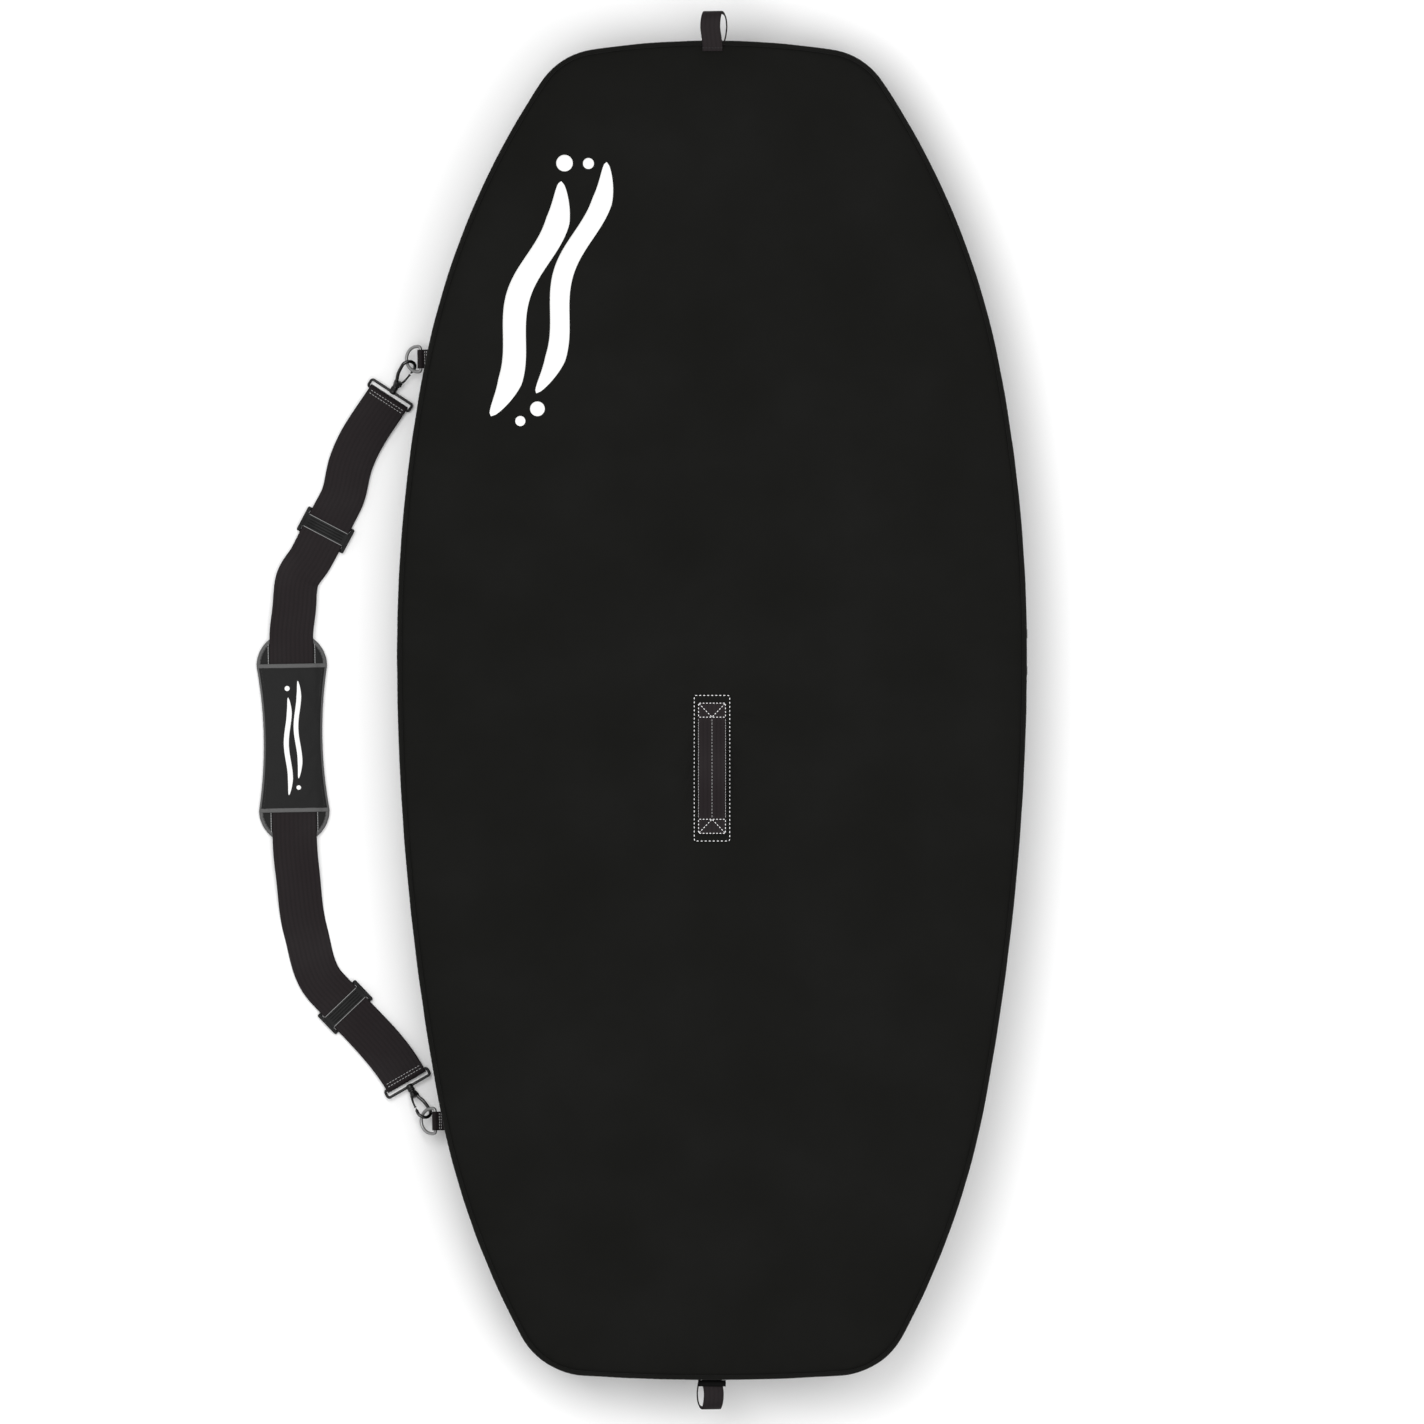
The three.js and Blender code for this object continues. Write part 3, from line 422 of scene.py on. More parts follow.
def grid_faces(rows, columns, wrap_rows=False, wrap_columns=False):
    faces = []
    for i in range(rows if wrap_rows else rows - 1):
        for j in range(columns if wrap_columns else columns - 1):
            a, b = i * columns + j, i * columns + (j + 1) % columns
            shift = ((i + 1) % rows - i) * columns
            faces.append((a, b, b + shift, a + shift))
    return faces


def closed_faces(rows, columns):
    """The faces of a row of rings, and those that close its first and last ring."""
    last = (rows - 1) * columns
    ends = [tuple(range(columns))[::-1], tuple(range(last, last + columns))]
    return grid_faces(rows, columns, wrap_columns=True) + ends


class Heap:
    """Gathers small meshes into the points and faces of one piece."""

    def __init__(self):
        self.points, self.faces = [], []

    def add(self, points, faces):
        base = len(self.points)
        self.points += list(points)
        self.faces += [tuple(base + v for v in face) for face in faces]


def piece(name, points, faces, look, body=None, slot=None, replaces=(), uvs=None, smooth=True):
    """A mesh piece; uvs has one pair for each point."""
    points = as_array(points)
    mesh = bpy.data.meshes.new(name)
    mesh.from_pydata((points * MM).tolist(), [], faces)
    mesh.materials.append(SHADERS[look].material)
    layer = mesh.uv_layers.new(name="cloth")
    loops = np.zeros(len(mesh.loops), int)
    mesh.loops.foreach_get("vertex_index", loops)
    flat = points[:, :2] if uvs is None else np.array(uvs, float)
    layer.data.foreach_set("uv", (flat[loops] * MM).ravel())
    mesh.polygons.foreach_set("use_smooth", [smooth] * len(mesh.polygons))
    mesh.validate()
    outward(mesh)
    return dress(add_object(name, mesh), body, replaces)


def outward(mesh):
    """Turns the faces of a closed mesh to face out."""
    bm = bmesh.new()
    bm.from_mesh(mesh)
    bmesh.ops.recalc_face_normals(bm, faces=bm.faces)
    if bm.calc_volume(signed=True) < 0:
        bmesh.ops.reverse_faces(bm, faces=bm.faces)
    bm.to_mesh(mesh)
    bm.free()


def face_up(mesh):
    """Turns an open sheet so that its normals point up."""
    if sum(p.normal.z for p in mesh.polygons) < 0:
        mesh.flip_normals()


def dress(obj, body, replaces=()):
    if body:
        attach(obj, body)
    if replaces:
        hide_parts(*replaces)
    return obj


def joined(name, parts):
    """Makes several pieces one."""
    target = parts[0]
    bm = bmesh.new()
    for part in parts:
        bm.from_mesh(part.data)
    bm.to_mesh(target.data)
    bm.free()
    for part in parts[1:]:
        bpy.data.objects.remove(part)
    target.name = name
    return target


def thicken(obj, thickness, offset=-1):
    solid = obj.modifiers.new("thickness", "SOLIDIFY")
    solid.thickness, solid.offset = thickness * MM, offset


class Stations:
    """Places along a line, each with its across and up directions and its distance along."""

    def __init__(self, points, across, up, closed=False):
        self.points, self.across, self.up = as_array(points), as_array(across), as_array(up)
        self.closed = closed
        self.along = distances(self.points)


def ribbon_stations(line, across):
    """Stations for a band of cloth: up is square to its line and to its across direction."""
    across = np.broadcast_to(np.array(across, float), line.shape)
    return Stations(line, across, unit(np.cross(across, unit(np.gradient(line, axis=0)))))


def sweep(name, stations, profile, look, ripple=None, **rest):
    """Carries a closed profile of (across, up) points along stations. ripple moves its points."""
    profile = np.array(profile, float)
    rows, columns = len(stations.along), len(profile)
    a, b, girth = (np.repeat(row[None], rows, 0) for row in (*profile.T, distances(profile)))
    s = np.repeat(stations.along[:, None], columns, 1)
    if ripple:
        a, b = ripple(s, a, b)
    across, up = stations.across[:, None], stations.up[:, None]
    points = stations.points[:, None] + a[:, :, None] * across + b[:, :, None] * up
    faces = closed_faces(rows, columns)
    if stations.closed:
        faces = grid_faces(rows, columns, wrap_rows=True, wrap_columns=True)
    return piece(name, points, faces, look, uvs=np.dstack([s, girth]).reshape(-1, 2), **rest)


def tube(name, line, radius, look, sides=16, closed=False, taper=1.0, **rest):
    """A round rod along a line. taper gives the radius's share at each point."""
    line = as_array(line)
    if closed:
        line = line[:-1]
        tangents = unit(np.roll(line, -1, 0) - np.roll(line, 1, 0))
    else:
        tangents = unit(np.gradient(line, axis=0))
    side = np.cross(tangents[0], (0.31, 0.17, 0.93))
    across = []
    for t in tangents:
        side = unit(side - t * (side @ t))
        across.append(side)
    stations = Stations(line, across, np.cross(tangents, across), closed)
    share = np.broadcast_to(taper, len(line))[:, None]
    profile = circle_profile(radius, sides)
    return sweep(name, stations, profile, look, lambda s, a, b: (a * share, b * share), **rest)


def lathe(name, profile, matrix, look, sides=28, **rest):
    """Turns a profile of (radius, distance) round the local Y axis."""
    points = [(radius * c, y, radius * s) for radius, y in profile for c, s in circle(sides)]
    return piece(name, in_place(points, matrix), closed_faces(len(profile), sides), look, **rest)


STITCH = ((0.0, 0.35), (0.15, 0.9), (0.5, 1.0), (0.85, 0.9), (1.0, 0.35))  # share of length, of radius
STITCH_SIDES = 6


def stitches(name, line, look, body, pitch=4.5, length=3.1, radius=0.32):
    """A row of stitches along a line: each is a short thread that dips at both ends."""
    line = as_array(line)
    along = distances(line)
    shares, girth = np.array(STITCH).T
    faces = closed_faces(len(STITCH), STITCH_SIDES)
    count = max(1, round(along[-1] / pitch))
    heap = Heap()
    for start in (np.arange(count) + 0.5) * along[-1] / count - length / 2:
        middle = sample(line, along, start + shares * length)
        tangent = unit(middle[-1] - middle[0])
        side = np.cross(tangent, (0.0, 0.0, 1.0))
        if np.linalg.norm(side) < 0.3:  # the line is steep
            side = np.cross(tangent, (0.0, 1.0, 0.0))
        side = unit(side)
        ring = circle(STITCH_SIDES) @ (side, np.cross(side, tangent))
        rings = middle[:, None] + radius * girth[:, None, None] * ring
        heap.add(rings.reshape(-1, 3), faces)
    return piece(name, heap.points, heap.faces, look, body=body)


def repaint(name, look, width):
    """Gives a CAD node a better material and softer edges."""
    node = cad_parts[name]
    node.data.materials.clear()
    node.data.materials.append(SHADERS[look].material)
    node.data.polygons.foreach_set("material_index", [0] * len(node.data.polygons))
    node.modifiers.new("weld", "WELD").merge_threshold = 0.002 * MM
    bevel = node.modifiers.new("bevel", "BEVEL")
    bevel.width, bevel.segments, bevel.harden_normals = width * MM, 2, False
    bevel.limit_method, bevel.angle_limit = "ANGLE", radians(35)


# ---- The outline ----


def arc_chain(arcs, end):
    centre = np.array([WIDEST[0] - arcs[0][0], WIDEST[1]])
    chain, turned = [], 0.0
    for i, (radius, turn) in enumerate(arcs):
        chain.append((centre, radius, turned, turned + turn))
        turned += turn
        way = np.array([cos(radians(turned)), end * sin(radians(turned))])
        following = arcs[i + 1][0] if i + 1 < len(arcs) else radius + centre[0] / way[0]
        centre = centre + (radius - following) * way
    chain.append((centre, following, turned, 90.0))
    return chain


def half_edge(arcs, end, step=1.0):
    """Points and outward directions from the widest point to one end."""
    points, directions = [], []
    for centre, radius, low, high in arc_chain(arcs, end):
        count = max(3, round(radius * radians(high - low) / step))
        turns = np.radians(np.linspace(low, high, count, endpoint=False))
        way = np.column_stack([np.cos(turns), end * np.sin(turns)])
        directions.append(way)
        points.append(centre + radius * way)
    return np.vstack(points), np.vstack(directions)


class Edge:
    """The bag's outline, once round from the tail by the right side, the nose and the left side."""

    def __init__(self):
        halves = zip(half_edge(TAIL_ARCS, -1), half_edge(NOSE_ARCS, 1))
        right, way = (np.vstack([tail[::-1], nose[1:]]) for tail, nose in halves)
        mirror = np.array([-1.0, 1.0])
        points, ways = (np.vstack([half, (half * mirror)[::-1]]) for half in (right, way))
        self.turns = np.unwrap(np.arctan2(ways[:, 1], ways[:, 0]))
        self.points, self.ways = np.vstack([points, points[:1]]), np.vstack([ways, ways[:1]])
        self.along = distances(self.points)
        self.length = self.along[-1]

    def at(self, s, inset=0.0):
        """Points and outward directions at distances s round the outline."""
        s = np.asarray(s) % self.length
        ways = unit(sample(self.ways, self.along, s))
        return sample(self.points, self.along, s) - ways * np.asarray(inset)[..., None], ways

    def distance(self, turn):
        """How far round the outline faces turn: -90 degrees at the tail, 0 at the right, 90 at the nose."""
        return float(np.interp(radians(turn), self.turns, self.along[:-1]))

    def stations(self, start, end, step, closed=False):
        """Stations along the outline whose across direction points inwards."""
        s = np.linspace(start, end, max(3, round((end - start) / step)), endpoint=not closed)
        points, ways = self.at(s)
        flat = np.zeros(len(s))
        up = np.tile([0.0, 0.0, 1.0], (len(s), 1))
        made = Stations(np.column_stack([points, flat]), np.column_stack([-ways, flat]), up, closed)
        made.along = s
        return made


EDGE = Edge()
ZIP_RUN = (EDGE.distance(ZIP_END), EDGE.length - EDGE.distance(ZIP_END))
TAIL_RUN = (-EDGE.distance(ZIP_END - 0.15), EDGE.distance(ZIP_END - 0.15))
NOSE_Y, TAIL_Y = (EDGE.at([s])[0][0][1] for s in (EDGE.length / 2, 0.0))

# ---- The panels ----

RING_INSETS = [0.0, 0.6, 1.6, 3.2, 5.6, 9.0, 13.5, 19.0, 26.0, 34.0]
EDGE_STEP = 7.0


def panel_grid(inset, shares):
    """Rings of points from a panel's edge to its middle: x and y, distance round, distance in, share out."""
    count = round(EDGE.length / EDGE_STEP)
    s = np.linspace(0, EDGE.length, count, endpoint=False)
    rings = [EDGE.at(s, inset + d)[0] for d in RING_INSETS]
    depths = [np.full(count, d) for d in RING_INSETS]
    last = rings[-1]
    for share in np.linspace(1, 0, shares + 1)[1:-1]:
        rings.append(last * share)
        depths.append(RING_INSETS[-1] + (1 - share) * np.linalg.norm(last, axis=1))
    xy = np.array(rings)
    share = np.linalg.norm(xy, axis=2) / np.linalg.norm(xy[0], axis=1)
    return xy, np.repeat(s[None, :], len(rings), 0), np.array(depths), share


def panel(name, inset, height, look, thickness, shares=44, swell=None, offset=-1, **rest):
    """A cloth panel with the bag's outline. height gives its z from x, y and what panel_grid gives."""
    xy, s, depth, share = panel_grid(inset, shares)
    z = height(xy[:, :, 0], xy[:, :, 1], s, depth, share)
    zero = np.zeros(1)
    middle = height(zero, zero, zero, np.array([depth.max()]), zero)
    points = np.vstack([np.dstack([xy, z]).reshape(-1, 3), [0, 0, middle[0]]])
    rows, columns = z.shape
    last = (rows - 1) * columns
    faces = grid_faces(rows, columns, wrap_columns=True)
    faces += [(last + k, last + (k + 1) % columns, rows * columns) for k in range(columns)]
    obj = piece(name, points, faces, look, **rest)
    face_up(obj.data)
    if swell:
        inflate(obj, np.append(sewn_down(xy, depth).ravel(), True), **swell)
    thicken(obj, thickness, offset)
    return obj


SWELL_FRAMES = 20


def add_swell(obj, pressure, slack):
    """Makes a piece a light cloth that is held at its seam and pushed out from below."""
    swell = obj.modifiers.new("swell", "CLOTH")
    settings = swell.settings
    settings.quality, settings.mass = 5, 0.2
    settings.tension_stiffness = settings.compression_stiffness = 20
    settings.shear_stiffness, settings.bending_stiffness = 5, 0.4
    settings.use_pressure, settings.uniform_pressure_force = True, pressure
    settings.vertex_group_mass, settings.shrink_min = "seam", -slack
    settings.effector_weights.gravity = 0
    swell.collision_settings.use_collision = False
    return swell


def inflate(obj, pinned, cap, pressure, slack):
    """Swells a cloth that is sewn down where pinned, with a soft limit on how far it moves."""
    seam = obj.vertex_groups.new(name="seam")
    seam.add(np.flatnonzero(pinned).tolist(), 1.0, "REPLACE")
    swell = add_swell(obj, pressure, slack)
    for number in range(1, SWELL_FRAMES + 1):
        bpy.context.scene.frame_set(number)
    swollen = obj.evaluated_get(bpy.context.evaluated_depsgraph_get()).data
    before, after = np.empty((2, len(obj.data.vertices) * 3))
    obj.data.vertices.foreach_get("co", before)
    swollen.vertices.foreach_get("co", after)
    move = (after - before).reshape(-1, 3)
    size = np.linalg.norm(move, axis=1, keepdims=True) + 1e-9
    move *= cap * MM * np.tanh(size / (cap * MM)) / size
    obj.modifiers.remove(swell)
    obj.vertex_groups.remove(seam)
    obj.data.vertices.foreach_set("co", before + move.ravel())
    obj.data.update()
    bpy.context.scene.frame_set(1)


def puckers(s, seed, wave=24.0):
    """The small gathers along a seam."""
    drift = wobble(s, 0 * s, 160, seed) * 2.2
    return np.sin(tau * s / wave + drift) * (0.65 + 0.35 * wobble(s, 0 * s, 90, seed + 1))


def sewn_down(xy, depth):
    """Where the top panel can't swell: along its seam and under the handle's patch."""
    x, y = np.abs(xy[:, :, 0]), np.abs(xy[:, :, 1] - HANDLE["y"])
    return (depth < 3.0) | ((x < PATCH[0] / 2 + 2) & (y < PATCH[1] / 2 + 2))


def top_height(x, y, s, depth, share):
    z = HEIGHT + CROWN * (1 - share**2)
    z = z - 4.2 * np.exp(-depth / 4.5)
    z = z + 0.55 * np.exp(-depth / 16) * (1 - np.exp(-depth / 2)) * puckers(s, 3)
    patch = np.exp(-((x / 55) ** 4) - ((y - HANDLE["y"]) / 110) ** 4)
    slack = (1 - np.exp(-depth / 70)) * (1 - patch)
    return z + slack * (0.9 * wobble(x, y, 260, 11) + 0.35 * wobble(x, y, 95, 12))


def bottom_height(x, y, s, depth, share):
    z = 0.35 + 2.6 * np.exp(-depth / 4.0)
    z = z + 0.3 * np.exp(-depth / 14) * (1 + puckers(s, 5))
    return z + 0.25 * (1 + wobble(x, y, 180, 21))


def quilting(x, y):
    """How deep a diamond quilt's stitch lines pull the cloth in."""
    pull = 0.0
    for sign in (1, -1):
        phase = (x + sign * y) / (QUILT * sqrt(2))
        pull = pull + np.exp(-np.abs(phase - np.round(phase)) * QUILT / 9.0)
    return np.minimum(pull, 1.0)


def bottom_lining_height(x, y, s, depth, share):
    return 10.2 - 3.0 * quilting(x, y) + 0.2 * wobble(x, y, 60, 31)


def top_lining_height(x, y, s, depth, share):
    crown = HEIGHT - 9.1 + CROWN * (1 - share**2)
    return crown + 3.0 * quilting(x, y) + 0.2 * wobble(x, y, 60, 32)


def build_panels():
    top = panel(
        "top_panel_cloth", PANEL_INSET, top_height, "bag", SHELL,
        swell={"cap": 3.2, "pressure": 1.5, "slack": 0.006},
        body="lid", slot="shell_fabric", replaces=("top_panel",),
    )
    bottom = panel(
        "bottom_panel_cloth", PANEL_INSET, bottom_height, "bag", 1.0, offset=1,
        body="case", slot="shell_fabric", replaces=("bottom_panel",),
    )
    for side, height, body in (
        ("bottom", bottom_lining_height, "case"), ("top", top_lining_height, "lid"),
    ):
        panel(
            f"{side}_lining_cloth", LINING_INSET, height, "lining", 0.6, 84,
            body=body, slot="lining_fabric", replaces=(f"{side}_lining", f"{side}_foam"),
        )
    return top


# ---- The side wall ----


def wall_profile(inset, thickness, low, high, rows):
    heights = np.linspace(low, high, rows)
    return [(inset, z) for z in heights] + [(inset + thickness, z) for z in heights[::-1]]


def cushion_profile(inset, thickness, low, high, rows=8):
    """A foam strip's section with round corners."""
    r = thickness * 0.45
    wall = wall_profile(inset, thickness, low + r, high - r, rows)
    edge, far = high - r * 0.3, inset + thickness
    top = [(inset + r * 0.4, edge), (inset + thickness / 2, high), (far - r * 0.4, edge)]
    return wall[:rows] + top + wall[rows:] + [(x, low + high - z) for x, z in top[::-1]]


def wall_ripple(low, high, bulge, seed):
    """Moves a wall's cloth: a soft bulge, gathers at its two seams and long creases between them."""

    def ripple(s, a, b):
        free = np.maximum(np.sin(pi * np.clip((b - low) / (high - low), 0, 1)), 0)
        gather = np.exp(-(b - low) / 9) + np.exp(-(high - b) / 9)
        out = bulge * free**0.8 + 0.55 * gather * puckers(s, seed)
        creases = 0.7 * wobble(s, b * 2.2, 120, seed + 5) + 0.3 * wobble(s, b * 1.5, 45, seed + 6)
        return a - (out + free * creases), b

    return ripple


def left_and_right(stem):
    return (f"{stem}_left", f"{stem}_right")


def build_walls():
    for half, low, high, body, seed in (
        ("lower", WALL_LOW, ZIP_Z - ZIP_GAP, "case", 40),
        ("upper", ZIP_Z + ZIP_GAP, HEIGHT - 5.3, "lid", 50),
    ):
        ripple = wall_ripple(low, high, 1.1, seed)
        profile = wall_profile(SKIN_INSET, SHELL, low, high, 12)
        sweep(
            f"{half}_wall_cloth", EDGE.stations(*ZIP_RUN, 5.0), profile, "bag", ripple,
            body=body, slot="shell_fabric", replaces=left_and_right(f"{half}_gusset"),
        )
        z, way = (high, 1) if body == "case" else (low, -1)
        build_hem(f"{half}_wall_cloth_hem", z, way, body, ripple)
    build_tail_wall()
    for half, run, low, high, body, nodes in (
        ("lower", ZIP_RUN, WALL_FOAM_LOW, ZIP_Z - ZIP_FOAM_GAP, "case", left_and_right("lower_side_foam")),
        ("upper", ZIP_RUN, ZIP_Z + ZIP_FOAM_GAP, HEIGHT - 8.2, "lid", left_and_right("upper_side_foam")),
        ("tail", TAIL_RUN, WALL_FOAM_LOW, 102.5, "case", ("tail_foam",)),
    ):
        wall = wall_ripple(low, high, 0.0, 60)

        def ripple(s, a, b):
            return a + 0.25 * (wall(s, a, b)[0] - a) * (a > FOAM_INSET + 2), b

        profile = cushion_profile(FOAM_INSET, 4.5, low, high)
        sweep(
            f"{half}_wall_lining", EDGE.stations(*run, 7.0), profile, "lining", ripple,
            body=body, slot="lining_fabric", replaces=nodes,
        )


def build_hem(name, z, way, body, ripple):
    """The folded edge of the wall's cloth beside the zip, with its row of stitches."""
    profile = circle_profile(0.9, 8, (SKIN_INSET - 0.1, z - way * 0.4))
    sweep(name, EDGE.stations(*ZIP_RUN, 8.0), profile, "bag", body=body, slot="shell_fabric")
    s = np.linspace(*ZIP_RUN, round((ZIP_RUN[1] - ZIP_RUN[0]) / 2.0))
    inset, height = ripple(s, np.full(len(s), SKIN_INSET), np.full(len(s), z - way * 4.2))
    line = np.column_stack([EDGE.at(s, inset - 0.3)[0], height])
    stitches(name + "_stitches", line, "dark_thread", body, pitch=5.0, radius=0.34)


def build_tail_wall():
    """The wall at the tail has no zip: it is the lid's hinge."""
    low, high = WALL_LOW, HEIGHT - 4.6
    profile = wall_profile(SKIN_INSET, SHELL, low, high, 26)
    wall = sweep(
        "tail_wall_cloth", EDGE.stations(*TAIL_RUN, 5.0), profile, "bag",
        wall_ripple(low, high, 1.0, 70), slot="shell_fabric", replaces=("tail_gusset",),
    )
    for side, end in (("left", TAIL_RUN[0] + 4.5), ("right", TAIL_RUN[1] - 4.5)):
        x, y = EDGE.at([end], SKIN_INSET - 1.3)[0][0]
        line = [(x, y, height) for height in np.linspace(9, 108, 30)]
        stitches(f"tail_seam_{side}", line, "dark_thread", "case", pitch=4.6, length=3.2, radius=0.4)
    y, z = TAIL_HINGE
    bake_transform(wall)


def build_piping():
    middle = PIPING / 2
    for side, z, body in (("top", HEIGHT - 3.0, "lid"), ("bottom", 3.3, "case")):

        def ripple(s, a, b):
            swell = 1 + 0.03 * np.sin(tau * s / 7.0) + 0.03 * wobble(s, 0 * s, 40, 81)
            return middle + (a - middle) * swell, z + (b - z) * swell

        sweep(
            f"{side}_piping_cord", EDGE.stations(0, EDGE.length, 3.5, closed=True),
            circle_profile(middle, 12, (middle, z)), "bag", ripple,
            body=body, slot="shell_fabric", replaces=(f"{side}_piping",),
        )


# ---- The zip ----

TOOTH_PITCH, TOOTH_HALF = 3.2, 0.68
TOOTH = [  # (inset, rise) round a tooth's side
    (0.0, 4.0), (0.25, 4.3), (1.65, 4.3), (1.9, 4.0), (1.9, 0.7), (1.5, -0.15), (0.4, -0.15), (0.0, 0.7),
]
TOOTH_TIP = 0.72  # the width of its tip as a share of its own


def build_zip():
    for half, way, body in (("lower", -1, "case"), ("upper", 1, "lid")):
        low, high = sorted((ZIP_Z + way * 0.35, ZIP_Z + way * 20))
        sweep(
            f"{half}_zip_tape_cloth", EDGE.stations(*ZIP_RUN, 5.0),
            wall_profile(TAPE_INSET, 0.8, low, high, 6), "zip_tape",
            body=body, slot="zip_tape", replaces=(f"{half}_zip_tape",),
        )
        build_teeth(f"{half}_zip_teeth", way, body)
    for end, _ in ENDS:
        repaint(f"zip_slider_{end}", "zip_metal", 0.4)
        repaint(f"zip_pull_{end}", "zip_metal", 0.4)
    for side, _ in SIDES:
        repaint(f"zip_end_stop_{side}", "zip_metal", 0.8)


def build_teeth(node, way, body):
    """A row of moulded teeth, which reach between those of the other row."""
    starts = np.arange(ZIP_RUN[0] + 2, ZIP_RUN[1] - 2, TOOTH_PITCH) + (TOOTH_PITCH / 2 if way > 0 else 0)
    n = len(TOOTH)
    faces = [tuple(range(n)), tuple(range(n, 2 * n))[::-1]]
    faces += [(k, n + k, n + (k + 1) % n, (k + 1) % n) for k in range(n)]
    heap = Heap()
    for p, w in zip(*EDGE.at(starts)):
        tangent = np.array([-w[1], w[0]])
        points = []
        for side in (-1, 1):
            for inset, rise in TOOTH:
                narrow = TOOTH_HALF * (TOOTH_TIP if rise < 0 else 1.0)
                flat = p - w * (TEETH_INSET + inset) + tangent * side * narrow
                points.append((*flat, ZIP_Z + way * rise))
        heap.add(points, faces)
    piece(
        node + "_row", heap.points, heap.faces, "teeth", body=body, slot="zip_teeth", replaces=(node,),
        smooth=False,
    )


# ---- The handle ----


class Drape:
    """Finds the height of a finished cloth."""

    def __init__(self, obj):
        bm = bmesh.new()
        bm.from_mesh(obj.data)
        self.tree = BVHTree.FromBMesh(bm)
        bm.free()

    def over(self, xy, lift):
        """Points that lie on the cloth, or lift above it."""
        points = []
        for x, y in xy:
            hit = self.tree.ray_cast(Vector((x * MM, y * MM, 1.0)), Vector((0, 0, -1)))[0]
            points.append((x, y, (hit.z / MM if hit else HEIGHT) + lift))
        return np.array(points)


def rectangle(width, length, radius, step, y, corner_points=5):
    """A closed line round a rectangle with round corners."""
    w, h = width / 2 - radius, length / 2 - radius
    line = []
    for cx, cy, start in ((w, h, 0), (-w, h, 90), (-w, -h, 180), (w, -h, 270)):
        line += arc(cx, y + cy, radius, start, start + 90, corner_points)
    return even(np.array(line + line[:1]), step)


def build_handle(drape):
    y, width, thick = HANDLE["y"], HANDLE["width"], HANDLE["thick"]
    build_patch(drape, y)
    seat = HEIGHT + CROWN * (1 - (y / TAIL_HINGE[0]) ** 2) + 1.6 + thick / 2
    reach = HANDLE["free"] / 2
    grip = [(0, y + reach * t, seat + HANDLE["rise"] * (1 - t**2) ** 1.5) for t in np.linspace(-1, 1, 60)]
    ends = [(0, y + way * (reach + HANDLE["tab"]), seat) for way in (-1, 1)]
    line = even(as_array([ends[0], *grip, ends[1]]), 2.0)
    stations = ribbon_stations(line, (1.0, 0, 0))

    def fold(s, a, b):
        """The grip is folded lengthwise along its middle."""
        middle = np.abs(s - stations.along[-1] / 2) / (stations.along[-1] / 2)
        top = np.clip((0.78 - middle) / 0.12, 0, 1) * (b > 0)
        ridge = 0.7 * np.exp(-((np.abs(a) - 7.5) / 5.5) ** 2) - 0.25 * np.exp(-((a / 1.1) ** 2))
        return a, b + top * ridge * (np.abs(a) < width * 0.44)

    sweep(
        "carry_handle_webbing", stations, band_profile(width, thick, 20), "webbing", fold,
        body="lid", slot="webbing", replaces=("carry_handle",),
    )
    build_grip_seams(stations, np.abs(line[:, 1] - y) < reach - 1)
    for name, way in ENDS:
        middle = y + way * (reach + HANDLE["tab"] / 2 - 0.5)
        box_stitch(f"handle_box_{name}", middle, way, seat + thick / 2 + 0.12)


def build_grip_seams(stations, free):
    """The seams along the grip, where it is free: one down its middle and one beside each edge."""
    lifted = stations.points + (HANDLE["thick"] / 2 + 0.05) * stations.up
    for side, radius, pitch, name in (
        (0.0, 0.22, 3.8, "middle"), (0.474, 0.2, 3.1, "right"), (-0.474, 0.2, 3.1, "left"),
    ):
        row = (lifted + side * HANDLE["width"] * stations.across)[free]
        stitches(f"handle_seam_{name}", row, "thread", "lid", pitch=pitch, length=2.6, radius=radius)


def box_stitch(name, y, way, z):
    """A box of stitches with two diagonals that meet at the middle of its inner edge."""
    w, h = HANDLE["width"] / 2 - 0.9, 7.6
    inner, outer = y - way * h, y + way * h
    box = [(-w, inner), (w, inner), (w, outer), (-w, outer), (-w, inner)]
    cross = [(-w, outer), (0, inner), (w, outer)]
    parts = []
    for i, run in enumerate([*zip(box, box[1:]), *zip(cross, cross[1:])]):
        line = even(as_array(flat_points(run, z)), 2.0)
        row = stitches(f"{name}_{i}", line, "white_thread", "lid", pitch=3.7, length=2.0, radius=0.42)
        parts.append(row)
    joined(name, parts)


def build_patch(drape, y):
    """The patch under the handle, with a row of stitches round it."""
    outline = rectangle(*PATCH, 3.0, 3.0, y)[:-1] - (0, y)
    rings = []
    for inset, lift in ((0.0, -0.25), (0.1, 0.9), (0.9, 1.35), (2.6, 1.3)):
        rings.append(drape.over(outline * (1 - 2 * inset / np.array(PATCH)) + (0, y), lift))
    for share in (0.7, 0.45, 0.2, 0.02):
        rings.append(drape.over(outline * share + (0, y), 1.3))
    piece(
        "handle_patch_cloth", rings, closed_faces(len(rings), len(outline)), "bag",
        body="lid", slot="shell_fabric", replaces=("handle_patch",),
    )
    border = drape.over(rectangle(PATCH[0] - 3.5, PATCH[1] - 3.5, 1.5, 2.0, y), 1.5)
    stitches("handle_patch_stitches", border, "white_thread", "lid", pitch=4.4, length=2.2, radius=0.46)


# ---- The end loops ----

